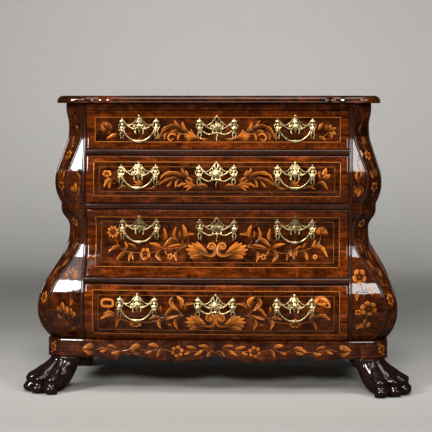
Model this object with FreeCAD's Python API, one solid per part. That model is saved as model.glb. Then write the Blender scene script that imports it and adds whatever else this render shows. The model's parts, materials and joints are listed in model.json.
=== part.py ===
import FreeCAD, Part
import math
import os
from FreeCAD import Vector

# A bombe chest of four long drawers on lion's paw feet.
# Millimetres. The chest stands on z = 0, its front faces -Y, and X runs along its width.
# The origin lies on the floor, half way across the width over the paws and half way
# between the toes and the back.

os.makedirs("parts", exist_ok=True)

# ---------------------------------------------------------------- driving dimensions
overall_width = 1030.0  # over the front paws
overall_depth = 585.0  # from the front toes to the back boards
toe_reach = 55.0  # the paws stand this far outside the plinth, to the front and side
foot_height = 94.0  # floor to the underside of the plinth
plinth_height = 49.0
opening_4_height = 153.0  # the drawer openings, bottom to top
opening_3_height = 182.0
opening_2_height = 130.0
opening_1_height = 105.0
rail_height = 16.0
frieze_height = 19.0
top_thickness = 20.0

# the swell of the case, measured outwards from the face of the plinth
lower_bulge = 24.3
lower_waist = -53.5
upper_bulge = -19.1
upper_waist = -53.0
frieze_swell = -47.0
lower_tuck_radius = 114.0  # the bulges roll under to the plinth and to the ledge
upper_tuck_radius = 113.0
lower_bulge_height = 81.0  # above the plinth
lower_waist_top = 52.0  # below the ledge between the two stages
lower_waist_band = 3.0
upper_bulge_height = 56.0  # above the ledge
upper_waist_top = 41.0  # below the frieze
upper_waist_band = 8.0
frieze_cove = 5.0  # the swell meets the frieze this far above its lower edge
lower_steepness = 1.66  # slope of each S curve's middle over its mean slope
ledge_steepness = 1.78
upper_steepness = 1.4
frieze_steepness = 1.63

# the plan of the case
bow_radius = 4500.0  # the gentle bow of the front, at the plinth
post_width = 104.0  # a corner post at the plinth, from the drawer opening to the side
stile_turn = 7.0  # degrees that the stile faces turn away from the front
ribbon_waist = 39.5  # width of the canted corner at the lower waist, seen from the front
post_depth = 125.0  # plinth front to the back of the corner posts
side_thickness = 24.0  # at the waist; the inside is flat
back_thickness = 14.0
back_plank_count = 5
plank_gap = 0.4

# rails, dust boards and drawer guides
rail_depth = 70.0
rail_proud = 1.5
rail_nose = 4.5
dust_board_thickness = 10.0
bottom_thickness = 16.0
guide_height = 18.0
guide_width = 16.0
guide_gap = 0.6  # between a drawer box and its guides
stop_width = 30.0
stop_depth = 12.0
stop_height = 5.0
stop_place = 250.0  # from the middle of the chest

# drawers
front_least = 14.0  # a drawer front at its thinnest; its inside is flat
drawer_side_gap = 1.6  # between a drawer front and each post
drawer_top_gap = 1.6
drawer_bottom_gap = 1.0
lining_gap = 4.0  # between a drawer box and each post
lining_thickness = 12.0
lining_drop = 12.0  # the linings stop this far below the top of the front
panel_thickness = 8.0
panel_rise = 8.0  # the bottom panel's underside above the drawer's lower edge
groove_depth = 6.0
groove_clearance = 0.15
drawer_back_gap = 12.0  # between a drawer's back and the back boards

# locks
lock_width = 70.0
lock_height = 46.0
lock_thickness = 16.0
lock_inset = 6.0  # the lock is let into the inside of the front
bolt_width = 22.0
bolt_thickness = 5.0
bolt_length = 26.0
bolt_throw = 8.0
bolt_clearance = 0.3
mortise_depth = 9.0
keyhole_height = 31.0  # the eye's middle above the pulls' pivots
keyhole_radius = 2.6
keyhole_slot = 2.4
keyhole_drop = 9.0

# pulls and escutcheons
pull_place = 210.0  # from the middle of the chest to the middle of a pull
post_spacing = 93.4
pivot_4_height = 87.0  # the bails' axes above each opening's lower edge
pivot_3_height = 122.0
pivot_2_height = 72.0
pivot_1_height = 50.5
pivot_reach = 15.0  # the bail's axis stands this far off the drawer front
plate_thickness = 2.2
plate_gap = 0.25
post_flange_radius = 6.0
post_flange_thickness = 2.0
post_head_radius = 4.6
post_head_length = 10.0
shank_size = 4.6
shank_clearance = 0.2
shank_tail = 3.0
bail_rod_radius = 1.7
bail_running_clearance = 0.05
bail_drop = 29.5
bail_grip_radius = 4.8
bail_grip_half = 18.0
bail_elbow = 22.0  # the arms bend in towards the grip this far from its middle
bail_elbow_drop = 21.0
bail_pin_end = 1.2
plate_facet_sag = 0.3  # the plates follow the swell in flats, to within this

# the top
top_overhang = 22.5
ear_radius = 60.0
cove_inset = 113.5  # from the top's side to the small cove between the bow and the ear
cove_radius = 30.0
cove_depth = 8.0
cove_ease = 14.0  # rounds the two corners of each cove
thumb_radius = 17.0

# plinth
apron_thickness = 22.0
apron_lobe_drop = 10.0  # the lobes hang this far below the plinth's corners
apron_cusp_rise = 12.0
apron_point_inset = 88.0  # from the corner post
apron_cusp_inset = 102.0
apron_lobe_place = 120.0
apron_shoulder = 6.0

# feet
ankle_radius = 47.0
paw_radius = 57.0
sole_radius = 42.0
paw_widest = 30.0  # height at which the paw is widest
paw_forward = 30.0  # the paw's body lies this far in front of the ankle
toe_count = 4
toe_fan = 22.0  # degrees from one toe to the next, about the ankle
toe_reach_out = 94.0  # ankle's axis to the axis of a toe's tip
toe_radius = 18.5
knuckle_height = 44.0
rear_foot_top = 78.0
rear_foot_bottom = 58.0

seat_gap = 0.3  # pieces that fit into each other lie this far apart

# ---------------------------------------------------------------- worked out from them
plinth_half = overall_width / 2 - toe_reach
opening_half = plinth_half - post_width
plinth_front = -overall_depth / 2 + toe_reach
back_face = overall_depth / 2
back_inner = back_face - back_thickness
post_back = plinth_front + post_depth
bow_centre = plinth_front + bow_radius
plinth_top = foot_height + plinth_height

opening_heights = {
    1: opening_1_height,
    2: opening_2_height,
    3: opening_3_height,
    4: opening_4_height,
}
pivot_heights = {1: pivot_1_height, 2: pivot_2_height, 3: pivot_3_height, 4: pivot_4_height}
opening_low = {}
opening_high = {}
level = plinth_top
for number in (4, 3, 2, 1):
    opening_low[number] = level
    opening_high[number] = level + opening_heights[number]
    level = opening_high[number] + rail_height
frieze_low = opening_high[1]
case_top = frieze_low + frieze_height
ledge_low = opening_high[3]
ledge_high = opening_low[2]

lower_bulge_z = plinth_top + lower_bulge_height
lower_waist_high_z = ledge_low - lower_waist_top
lower_waist_low_z = lower_waist_high_z - lower_waist_band
upper_bulge_z = ledge_high + upper_bulge_height
upper_waist_high_z = frieze_low - upper_waist_top
upper_waist_low_z = upper_waist_high_z - upper_waist_band
frieze_start_z = frieze_low + frieze_cove
ledge_swell = upper_bulge - upper_tuck_radius + math.sqrt(
    upper_tuck_radius**2 - upper_bulge_height**2
)
plinth_swell = lower_bulge - lower_tuck_radius + math.sqrt(
    lower_tuck_radius**2 - lower_bulge_height**2
)
side_inner = plinth_half + lower_waist - side_thickness
top_half = plinth_half + frieze_swell + top_overhang
cove_place = top_half - cove_inset
apron_point_place = opening_half - apron_point_inset
apron_cusp_place = opening_half - apron_cusp_inset
drawer_half = opening_half - drawer_side_gap
box_half = opening_half - lining_gap
origin = Vector(0, 0, 0)
up = Vector(0, 0, 1)


# ---------------------------------------------------------------- the master form
# The swell is a chain of arcs and lines. Each piece of it is (low, high, is_arc, offset),
# where offset(z) is how far the case stands outside the plinth's face at height z.
def arc_piece(low, high, centre_z, centre_offset, radius):
    """Part of a circle; a negative radius takes the circle's inner half."""

    def offset(z):
        reach = math.sqrt(max(radius**2 - (z - centre_z) ** 2, 0.0))
        return centre_offset + math.copysign(reach, radius)

    return low, high, True, offset


def line_piece(low, high, at_low, at_high):
    def offset(z):
        return at_low + (at_high - at_low) * (z - low) / (high - low)

    return low, high, False, offset


def tuck(low, high, at_low, at_high):
    """An arc that is upright at its top and rolls under."""
    rise = high - low
    drop = at_high - at_low
    radius = (rise**2 + drop**2) / (2 * drop)
    return [arc_piece(low, high, high, at_high - radius, radius)]


def s_curve(low, high, at_low, at_high, steepness):
    """Two equal arcs, upright at the ends, joined by a line that touches both."""
    rise = high - low
    run = abs(at_high - at_low)
    outwards = math.copysign(1, at_high - at_low)
    slope = steepness * run / rise
    lean = math.atan(slope)
    radius = (rise * slope - run) / (2 / math.cos(lean) - 2)
    arc_rise = radius * math.sin(lean)
    arc_run = outwards * radius * (1 - math.cos(lean))
    return [
        arc_piece(low, low + arc_rise, low, at_low + outwards * radius, -outwards * radius),
        line_piece(low + arc_rise, high - arc_rise, at_low + arc_run, at_high - arc_run),
        arc_piece(high - arc_rise, high, high, at_high - outwards * radius, outwards * radius),
    ]


def swell_pieces(scale):
    """The whole swell from the plinth to the top, its offsets multiplied by scale."""
    bulge, waist = scale * lower_bulge, scale * lower_waist
    ledge, foot = scale * ledge_swell, scale * plinth_swell
    bulge_2, waist_2 = scale * upper_bulge, scale * upper_waist
    frieze = scale * frieze_swell
    pieces = tuck(plinth_top, lower_bulge_z, foot, bulge)
    pieces += s_curve(lower_bulge_z, lower_waist_low_z, bulge, waist, lower_steepness)
    pieces.append(line_piece(lower_waist_low_z, lower_waist_high_z, waist, waist))
    pieces += s_curve(lower_waist_high_z, ledge_low, waist, ledge, ledge_steepness)
    pieces.append(line_piece(ledge_low, ledge_high, ledge, ledge))
    pieces += tuck(ledge_high, upper_bulge_z, ledge, bulge_2)
    pieces += s_curve(upper_bulge_z, upper_waist_low_z, bulge_2, waist_2, upper_steepness)
    pieces.append(line_piece(upper_waist_low_z, upper_waist_high_z, waist_2, waist_2))
    pieces += s_curve(upper_waist_high_z, frieze_start_z, waist_2, frieze, frieze_steepness)
    pieces.append(line_piece(frieze_start_z, case_top, frieze, frieze))
    return pieces


plain_swell = swell_pieces(1)


def swell(z):
    for low, high, _, offset in plain_swell:
        if low <= z <= high:
            return offset(z)
    return 0.0


def least_swell(low, high):
    ends = [z for piece in plain_swell for z in piece[:2] if low < z < high]
    return min(swell(z) for z in ends + [low, high])


def front_y(x, swelled):
    """The front's surface: an arc in plan about an axis behind the chest."""
    return bow_centre - math.sqrt((bow_radius + swelled) ** 2 - x**2)


def swell_edges(low, high, scale, place):
    """Edges up the swell; place gives the point for an offset and a height."""
    edges = []
    for piece_low, piece_high, is_arc, offset in swell_pieces(scale):
        a, b = max(piece_low, low), min(piece_high, high)
        if b - a < 0.01:
            continue
        ends = [place(offset(z), z) for z in (a, b)]
        if is_arc:
            middle = (a + b) / 2
            edges.append(Part.Arc(ends[0], place(offset(middle), middle), ends[1]).toShape())
        else:
            edges.append(Part.makeLine(ends[0], ends[1]))
    return edges


def swell_face(low, high, scale, place, back_low, back_high):
    """The face between the swell and a straight back."""
    edges = swell_edges(low, high, scale, place)
    start = edges[0].Vertexes[0].Point
    end = edges[-1].Vertexes[-1].Point
    lines = [
        Part.makeLine(end, back_high),
        Part.makeLine(back_high, back_low),
        Part.makeLine(back_low, start),
    ]
    return Part.Face(Part.Wire(Part.sortEdges(edges + lines)[0]))


def case_prism(turn, offset, scale):
    """The space inside one upright wall of the case, which faces +X turned by some degrees."""
    inside = offset - overall_depth / 2
    face = swell_face(
        plinth_top,
        case_top,
        scale,
        lambda s, z: Vector(offset + s, 0, z),
        Vector(inside, 0, plinth_top),
        Vector(inside, 0, case_top),
    )
    length = 2 * overall_width
    wall = face.extrude(Vector(0, length, 0))
    wall.translate(Vector(0, -length / 2, 0))
    wall.rotate(origin, up, turn)
    return wall


def front_block(low, high, back, half):
    """A block with the bowed, swelling front of the case and a flat back."""
    deep = back + 40
    face = swell_face(
        low,
        high,
        1,
        lambda s, z: Vector(0, plinth_front - s, z),
        Vector(0, deep, low),
        Vector(0, deep, high),
    )
    half_angle = math.degrees(math.asin((half + 20) / (bow_centre - deep)))
    axis_point = Vector(0, bow_centre, 0)
    face.rotate(axis_point, up, -half_angle)
    block = face.revolve(axis_point, up, 2 * half_angle)
    return block.common(box(-half, half, plinth_front - 2 * toe_reach, back, low, high))


def box(x0, x1, y0, y1, z0, z1):
    return Part.makeBox(x1 - x0, y1 - y0, z1 - z0, Vector(x0, y0, z0))


def prism(points, direction):
    return Part.Face(Part.makePolygon(points + [points[0]])).extrude(direction)


def mirrored(shape):
    return shape.mirror(origin, Vector(1, 0, 0))


def pair(shape):
    return [mirrored(shape), shape]


def along_bow(shape, x, swelled):
    """Carries a shape made at the middle of the front round the bow to x."""
    turned = shape.copy()
    angle = math.degrees(math.asin(x / (bow_radius + swelled)))
    turned.rotate(Vector(0, bow_centre, 0), up, angle)
    return turned


def save(name, shapes):
    solids = [solid for shape in shapes for solid in shape.Solids]
    solid_or_group = solids[0] if len(solids) == 1 else Part.makeCompound(solids)
    solid_or_group.exportStep("parts/" + name + ".step")


# ---------------------------------------------------------------- carcass
def bead_y(swelled):
    return front_y(opening_half, swelled)


def arris_at(swelled):
    """Plan of the edge between a stile face and the canted ribbon."""
    turn = math.tan(math.radians(stile_turn))
    at_waist = plinth_half + lower_waist - ribbon_waist
    x = at_waist + (swelled - lower_waist) / (1 - turn)
    return x, bead_y(swelled) + turn * (x - opening_half)


def corner_at(swelled):
    """Plan of the edge between the canted ribbon and the side."""
    x = plinth_half + swelled
    arris_x, arris_y = arris_at(swelled)
    return x, arris_y + x - arris_x


def corner_post():
    """The post beside the drawers: a stile face, a canted ribbon and a strip of the side."""
    turn = math.radians(stile_turn)
    arris_x, arris_y = arris_at(0)
    diagonal = math.sqrt(0.5)
    stile_offset = opening_half * math.sin(turn) - bead_y(0) * math.cos(turn)
    walls = [
        case_prism(0, plinth_half, 1),
        case_prism(-45, (arris_x - arris_y) * diagonal, 1 / diagonal),
        case_prism(stile_turn - 90, stile_offset, math.cos(turn)),
    ]
    post = box(
        opening_half, plinth_half + 60, plinth_front - 60, post_back, plinth_top, case_top
    )
    for wall in walls:
        post = post.common(wall)
    return post


def case_side():
    plank = box(side_inner, plinth_half + 60, post_back, back_inner, plinth_top, case_top)
    return plank.common(case_prism(0, plinth_half, 1))


def back_boards():
    """Upright planks nailed over the back, cut to the swell of the sides."""
    right = swell_face(
        plinth_top,
        case_top,
        1,
        lambda s, z: Vector(plinth_half + s, back_inner, z),
        Vector(0, back_inner, plinth_top),
        Vector(0, back_inner, case_top),
    )
    half_board = right.extrude(Vector(0, back_thickness, 0))
    width = 2 * (plinth_half + lower_bulge) / back_plank_count
    planks = []
    for i in range(back_plank_count // 2 + 1):
        outer = plinth_half + lower_bulge - i * width
        inner = max(outer - width + plank_gap, 0)
        plank = half_board.common(
            box(inner, outer, back_inner, back_face, plinth_top, case_top)
        )
        if inner == 0:
            planks.append(plank.fuse(mirrored(plank)).removeSplitter())
        else:
            planks += pair(plank)
    return planks


def rail_front(z_middle):
    return swell(z_middle) + rail_proud


def front_back(number):
    """The flat inside of a drawer front."""
    low, high = drawer_levels(number)
    return front_y(drawer_half, least_swell(low, high)) + front_least


def lock_y(number):
    return front_back(number) - lock_inset


def bolt_box(number, z0, z1, clearance):
    y_middle = lock_y(number) + lock_thickness / 2
    return box(
        -bolt_width / 2 - clearance,
        bolt_width / 2 + clearance,
        y_middle - bolt_thickness / 2 - clearance,
        y_middle + bolt_thickness / 2 + clearance,
        z0,
        z1,
    )


def rail(low, height, number_below):
    """A bowed divider with an eased nose, mortised underneath for a lock bolt."""
    reach = rail_front(low + height / 2)
    nose_y = front_y(0, reach)
    back = nose_y + rail_depth
    high = low + height
    section = [
        (nose_y + rail_nose, low),
        (nose_y, low + rail_nose),
        (nose_y, high - rail_nose),
        (nose_y + rail_nose, high),
        (back + 40, high),
        (back + 40, low),
    ]
    points = [Vector(0, y, z) for y, z in section]
    face = Part.Face(Part.makePolygon(points + [points[0]]))
    half_angle = math.degrees(math.asin((opening_half + 20) / (bow_centre - back - 40)))
    axis_point = Vector(0, bow_centre, 0)
    face.rotate(axis_point, up, -half_angle)
    body = face.revolve(axis_point, up, 2 * half_angle)
    body = body.common(box(-opening_half, opening_half, nose_y - 50, back, low, high))
    return body.cut(bolt_box(number_below, low - 1, low + mortise_depth, 1.0))


def dust_board(high, thickness, front):
    """A board across the case between the posts and, behind them, the sides."""
    low = high - thickness
    plan = [
        (-opening_half, front),
        (opening_half, front),
        (opening_half, post_back),
        (side_inner, post_back),
        (side_inner, back_inner),
        (-side_inner, back_inner),
        (-side_inner, post_back),
        (-opening_half, post_back),
    ]
    return prism([Vector(x, y, low) for x, y in plan], Vector(0, 0, thickness))


def rail_back(low):
    return front_y(0, rail_front(low + rail_height / 2)) + rail_depth


def drawer_guide(number):
    floor = opening_low[number]
    inner = box_half + guide_gap
    return box(inner, inner + guide_width, post_back, back_inner, floor, floor + guide_height)


def drawer_stop(number):
    """A block that the foot of a drawer front meets when it is shut."""
    floor = opening_low[number]
    face = front_back(number) + seat_gap
    return box(
        stop_place - stop_width / 2,
        stop_place + stop_width / 2,
        face,
        face + stop_depth,
        floor,
        floor + stop_height,
    )


# ---------------------------------------------------------------- top
def top_board():
    """A slab with an ear over each corner and a thumb moulding on three sides."""
    bow = bow_radius + frieze_swell + top_overhang
    half = top_half
    middle = Vector(0, bow_centre - bow, case_top)
    axis_point = Vector(0, bow_centre, case_top)
    ear_x = half - ear_radius
    ear_y = bow_centre - math.sqrt((bow - ear_radius) ** 2 - ear_x**2)
    rear = [Vector(-half, back_face, case_top), Vector(half, back_face, case_top)]
    edges = [Part.makeLine(rear[0], rear[1])]
    touches = []
    for side in (-1, 1):
        centre = Vector(side * ear_x, ear_y, case_top)
        outward = (centre - axis_point).normalize()
        flank = Vector(side, 0, 0)
        touch = centre + outward * ear_radius
        corner = centre + (outward + flank).normalize() * ear_radius
        end = centre + flank * ear_radius
        edges.append(Part.Arc(touch, corner, end).toShape())
        edges.append(Part.makeLine(end, Vector(side * half, back_face, case_top)))
        touches.append(touch)
    edges.append(Part.Arc(touches[0], middle, touches[1]).toShape())
    outline = Part.Wire(Part.sortEdges(edges)[0])
    slab = Part.Face(outline).extrude(Vector(0, 0, top_thickness))
    edge_y = bow_centre - math.sqrt(bow**2 - cove_place**2)
    for side in (-1, 1):
        place = Vector(side * cove_place, edge_y - cove_radius + cove_depth, case_top)
        slab = slab.cut(Part.makeCylinder(cove_radius, top_thickness, place))
    reach = cove_radius + 1
    sharp = [
        e
        for e in slab.Edges
        if e.Vertexes[0].Y < post_back
        and abs(e.Vertexes[0].Z - e.Vertexes[-1].Z) > top_thickness / 2
        and abs(abs(e.Vertexes[0].X) - cove_place) < reach
    ]
    slab = slab.makeFillet(cove_ease, sharp)
    top = case_top + top_thickness
    lip = [
        e
        for e in slab.Edges
        if all(abs(v.Z - top) < 0.01 for v in e.Vertexes)
        and not all(abs(v.Y - back_face) < 0.01 for v in e.Vertexes)
    ]
    return slab.makeFillet(thumb_radius, lip)


# ---------------------------------------------------------------- plinth
def front_apron():
    """The bowed front rail of the plinth, its lower edge cut in lobes between cusps."""
    low = foot_height - apron_lobe_drop - 2
    outer = Part.Arc(
        Vector(-opening_half, front_y(opening_half, 0), low),
        Vector(0, front_y(0, 0), low),
        Vector(opening_half, front_y(opening_half, 0), low),
    ).toShape()
    inner_reach = -apron_thickness
    inner = Part.Arc(
        Vector(-opening_half, front_y(opening_half, inner_reach), low),
        Vector(0, front_y(0, inner_reach), low),
        Vector(opening_half, front_y(opening_half, inner_reach), low),
    ).toShape()
    ends = [
        Part.makeLine(
            Vector(s * opening_half, front_y(opening_half, 0), low),
            Vector(s * opening_half, front_y(opening_half, inner_reach), low),
        )
        for s in (1, -1)
    ]
    plan = Part.Wire(Part.sortEdges([outer, inner] + ends)[0])
    board = Part.Face(plan).extrude(Vector(0, 0, plinth_top - low))
    return board.cut(apron_cut(low - 1))


def apron_cut(floor):
    """Everything below the apron's lower edge, from end to end."""
    cusp = foot_height + apron_cusp_rise
    lobe = foot_height - apron_lobe_drop
    point = foot_height - apron_shoulder
    y = plinth_front - 50
    half = opening_half + 10

    def at(x, z):
        return Vector(x, y, z)

    edges = []
    for s in (1, -1):
        edges += [
            Part.makeLine(at(s * half, floor), at(s * half, foot_height)),
            Part.makeLine(at(s * half, foot_height), at(s * (apron_point_place + 40), foot_height)),
            Part.makeLine(
                at(s * (apron_point_place + 40), foot_height), at(s * apron_point_place, point)
            ),
            Part.makeLine(at(s * apron_point_place, point), at(s * apron_cusp_place, cusp)),
            Part.Arc(
                at(s * apron_cusp_place, cusp),
                at(s * (apron_cusp_place + apron_lobe_place) / 2, foot_height - 1),
                at(s * apron_lobe_place, lobe),
            ).toShape(),
            Part.Arc(
                at(s * apron_lobe_place, lobe),
                at(s * apron_lobe_place / 2, foot_height - apron_shoulder),
                at(0, cusp),
            ).toShape(),
        ]
    edges.append(Part.makeLine(at(half, floor), at(-half, floor)))
    face = Part.Face(Part.Wire(Part.sortEdges(edges)[0]))
    return face.extrude(Vector(0, 150, 0))


def plinth_block():
    """The block under a corner post, canted like it, that carries a paw foot."""
    corner = corner_at(0)
    plan = [
        (opening_half, bead_y(0)),
        arris_at(0),
        corner,
        (corner[0], post_back),
        (opening_half, post_back),
    ]
    points = [Vector(x, y, foot_height) for x, y in plan]
    return prism(points, Vector(0, 0, plinth_height))


def side_apron():
    return box(
        plinth_half - apron_thickness, plinth_half, post_back, back_face, foot_height, plinth_top
    )


def rear_apron():
    half = plinth_half - apron_thickness
    return box(-half, half, back_face - apron_thickness, back_face, foot_height, plinth_top)


def carcass_bottom():
    half = plinth_half - apron_thickness
    low = plinth_top - bottom_thickness
    front = front_y(opening_half, -apron_thickness) + seat_gap
    rear = back_face - apron_thickness
    plan = [
        (-opening_half, front),
        (opening_half, front),
        (opening_half, post_back),
        (half, post_back),
        (half, rear),
        (-half, rear),
        (-half, post_back),
        (-opening_half, post_back),
    ]
    return prism([Vector(x, y, low) for x, y in plan], Vector(0, 0, bottom_thickness))


def rear_block():
    """A glue block in each rear corner that carries the rear foot."""
    right = plinth_half - apron_thickness
    rear = back_face - apron_thickness
    size = rear_foot_top - apron_thickness
    low_of_bottom = plinth_top - bottom_thickness
    return box(right - size, right, rear - size, rear, foot_height, low_of_bottom)


# ---------------------------------------------------------------- feet
def ring_points(centre, along, across, half_along, half_across, count):
    turns = [2 * math.pi * (i + 0.5) / count for i in range(count)]
    return [
        centre + along * (half_along * math.cos(t)) + across * (half_across * math.sin(t))
        for t in turns
    ]


def carved(rings):
    """A faceted solid through rings of points, as if cut with a chisel."""
    faces = []
    for lower, upper in zip(rings, rings[1:]):
        for i in range(len(lower)):
            j = (i + 1) % len(lower)
            for corner in ((lower[i], lower[j], upper[j]), (lower[i], upper[j], upper[i])):
                faces.append(Part.Face(Part.makePolygon(list(corner) + [corner[0]])))
    for ring in (rings[0], rings[-1]):
        faces.append(Part.Face(Part.makePolygon(ring + [ring[0]])))
    return Part.makeSolid(Part.makeShell(faces))


def paw_toe(heading):
    """One toe of a paw whose ankle stands on the origin: over the knuckle and down."""
    path = [
        (toe_reach_out - 70, knuckle_height + 15, 0.8, 0),
        (toe_reach_out - 40, knuckle_height + 13, 1.05, -12),
        (toe_reach_out - 14, knuckle_height, 1.15, -45),
        (toe_reach_out - 1, knuckle_height / 2, 0.95, -80),
        (toe_reach_out, knuckle_height / 5, 0.9, -90),
        (toe_reach_out - 5, 0.0, 0.65, -90),
    ]
    rings = []
    for x, z, size, pitch in path:
        lean = math.radians(pitch + 90)
        along = Vector(math.cos(lean), 0, math.sin(lean))
        radius = toe_radius * size
        centre = Vector(x, 0, z)
        rings.append(ring_points(centre, along, Vector(0, 1, 0), radius, radius, 8))
    toe = carved(rings)
    toe.rotate(origin, up, heading)
    return toe


def paw_foot():
    """A lion's paw that points along +X: the ankle spreads into a round body and toes."""
    levels = [
        (0, foot_height, ankle_radius),
        (0, foot_height - 8, ankle_radius - 2),
        (paw_forward / 4, foot_height - 26, ankle_radius),
        (paw_forward * 0.8, (foot_height + paw_widest) / 2 - 12, paw_radius - 3),
        (paw_forward, paw_widest, paw_radius),
        (paw_forward, paw_widest / 3, paw_radius - 6),
        (paw_forward, 0, sole_radius),
    ]
    forward = Vector(1, 0, 0)
    across = Vector(0, 1, 0)
    rings = [ring_points(Vector(x, 0, z), forward, across, r, r, 12) for x, z, r in levels]
    headings = [toe_fan * (i - (toe_count - 1) / 2) for i in range(toe_count)]
    foot = carved(rings).multiFuse([paw_toe(heading) for heading in headings])
    return foot.common(box(-200, 200, -200, 200, 0, foot_height))


def front_foot():
    """The right paw, splayed outwards at 45 degrees under the canted plinth block."""
    foot = paw_foot()
    foot.rotate(origin, up, -45)
    bounds = foot.BoundBox
    foot.translate(Vector(overall_width / 2 - bounds.XMax, -overall_depth / 2 - bounds.YMin, 0))
    return foot


def rear_foot():
    """A plain tapered foot, hidden behind the paw."""

    def square(size, z):
        right, rear = plinth_half, back_face
        plan = [(right, rear), (right - size, rear), (right - size, rear - size)]
        return [Vector(x, y, z) for x, y in plan + [(right, rear - size)]]

    return carved([square(rear_foot_bottom, 0), square(rear_foot_top, foot_height)])


# ---------------------------------------------------------------- drawers
def drawer_levels(number):
    return opening_low[number] + drawer_bottom_gap, opening_high[number] - drawer_top_gap


def pivot_z(number):
    return opening_low[number] + pivot_heights[number]


def shank_tool(number, size, outer, inner):
    """A square bar at the middle of the front, from one depth to another."""
    z = pivot_z(number)
    y = front_y(0, swell(z))
    half = size / 2
    return box(-half, half, y + outer, y + inner, z - half, z + half)


def at_posts(shape, number):
    """Copies of a shape made at the middle of the front, one for each post of a drawer."""
    swelled = swell(pivot_z(number))
    copies = []
    for side in (-1, 1):
        for end in (-1, 1):
            copy = shape.copy()
            copy.translate(Vector(end * post_spacing / 2, 0, 0))
            copies.append(along_bow(copy, side * pull_place, swelled))
    return copies


def keyhole(number):
    """A round hole over a slot, through the front and the escutcheon."""
    z = pivot_z(number) + keyhole_height
    y = front_y(0, swell(z))
    back = Vector(0, 1, 0)
    eye = octagon(Vector(0, y - 50, z), keyhole_radius, back * 100)
    slot = box(-keyhole_slot / 2, keyhole_slot / 2, y - 50, y + 50, z - keyhole_drop, z)
    return eye.fuse(slot)


def drawer_front(number):
    low, high = drawer_levels(number)
    back = front_back(number)
    body = front_block(low, high, back, drawer_half)
    lock_bed = box(
        -lock_width / 2 - seat_gap,
        lock_width / 2 + seat_gap,
        lock_y(number),
        back + 1,
        high - lock_height - seat_gap,
        high + 1,
    )
    groove_half = box_half - lining_thickness + groove_depth + groove_clearance
    groove = box(
        -groove_half,
        groove_half,
        back - groove_depth - groove_clearance,
        back + 1,
        low + panel_rise - groove_clearance,
        low + panel_rise + panel_thickness + groove_clearance,
    )
    hole = shank_tool(number, shank_size + 2 * shank_clearance, -5, post_depth)
    return body.cut([lock_bed, groove, keyhole(number)] + at_posts(hole, number))


def drawer_linings(number):
    """Two sides and a back; the sides are grooved for the bottom."""
    low, high = drawer_levels(number)
    top = high - lining_drop
    front = front_back(number)
    rear = back_inner - drawer_back_gap
    inner = box_half - lining_thickness
    panel_low = low + panel_rise - groove_clearance
    panel_high = low + panel_rise + panel_thickness + groove_clearance
    groove_end = inner + groove_depth + groove_clearance
    groove = box(inner - 1, groove_end, front - 1, rear + 1, panel_low, panel_high)
    side = box(inner, box_half, front, rear, low, top).cut(groove)
    back = box(-inner, inner, rear - lining_thickness, rear, panel_high, top)
    return pair(side) + [back]


def drawer_panel(number):
    low, _ = drawer_levels(number)
    half = box_half - lining_thickness + groove_depth
    front = front_back(number) - groove_depth
    rear = back_inner - drawer_back_gap
    return box(
        -half, half, front, rear, low + panel_rise, low + panel_rise + panel_thickness
    )


def lock_case(number):
    _, high = drawer_levels(number)
    face = lock_y(number)
    case = box(
        -lock_width / 2,
        lock_width / 2,
        face,
        face + lock_thickness,
        high - lock_height,
        high,
    )
    slot = bolt_box(number, high - bolt_length - 2 * bolt_clearance, high + 1, bolt_clearance)
    return case.cut([slot, keyhole(number)])


def lock_bolt(number):
    _, high = drawer_levels(number)
    return bolt_box(number, high - bolt_length - bolt_clearance, high - bolt_clearance, 0.0)


# ---------------------------------------------------------------- pulls and escutcheons
def silhouette(half_outline, x):
    """A flat face, mirrored about its own upright centre line at x."""
    right = [(x + dx, z) for dx, z in half_outline]
    left = [(x - dx, z) for dx, z in reversed(half_outline) if dx > 0]
    points = [Vector(px, 0, pz) for px, pz in right + left]
    return Part.Face(Part.makePolygon(points + [points[0]]))


def band(points, width):
    """A flat ribbon along a few points."""
    left = []
    right = []
    for i, (x, z) in enumerate(points):
        before = points[max(i - 1, 0)]
        after = points[min(i + 1, len(points) - 1)]
        run = Vector(after[0] - before[0], 0, after[1] - before[1]).normalize()
        side = Vector(-run.z, 0, run.x) * (width / 2)
        left.append(Vector(x, 0, z) + side)
        right.append(Vector(x, 0, z) - side)
    outline = left + right[::-1]
    return Part.Face(Part.makePolygon(outline + [outline[0]]))


def both_sides(points, width):
    return [band(points, width), band([(-x, z) for x, z in points], width)]


side_urn = [
    (0, 34),
    (8.3, 25),
    (4.0, 14),
    (7.5, 5),
    (5, -22),
]
centre_urn = [
    (0, 42.5),
    (11.5, 30),
    (7, 18),
    (17, 5),
    (0, -7),
]
swag_low = [(post_spacing / 2 - 4.7, 24), (15, 4)]
swag_high = [(28, 12), (9, 25)]
festoon = [(post_spacing / 2 - 3.7, 0), (22, -11), (0, -6)]
pendant = [(0, -5), (0, -28)]
ribbon_width = 3.4
plate_top = 43.0  # top and bottom of a casting, from the pivots
plate_bottom = -29.0


def swag_face(with_festoon):
    """The openwork outline of a pull: side urns and a centre urn joined by swags."""
    half = post_spacing / 2
    faces = [silhouette(centre_urn, 0), silhouette(side_urn, half), silhouette(side_urn, -half)]
    for line in (swag_low, swag_high):
        faces += both_sides(line, ribbon_width)
    if with_festoon:
        faces += both_sides(festoon, ribbon_width)
        faces.append(band(pendant, ribbon_width))
    return faces[0].multiFuse(faces[1:]).removeSplitter()


def bend_levels(low, high):
    """Heights at which a plate is bent so that its flats stay close to the swell."""

    def departure(a, b):
        parts = [0.25, 0.5, 0.75]
        on_flat = [swell(a) + (swell(b) - swell(a)) * t for t in parts]
        on_swell = [swell(a + (b - a) * t) for t in parts]
        return max(abs(f - c) for f, c in zip(on_flat, on_swell))

    levels = [low]
    while levels[-1] < high - 0.01:
        reach = high
        while departure(levels[-1], reach) > plate_facet_sag:
            reach = levels[-1] + (reach - levels[-1]) * 0.92
        levels.append(reach)
    return levels


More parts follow.
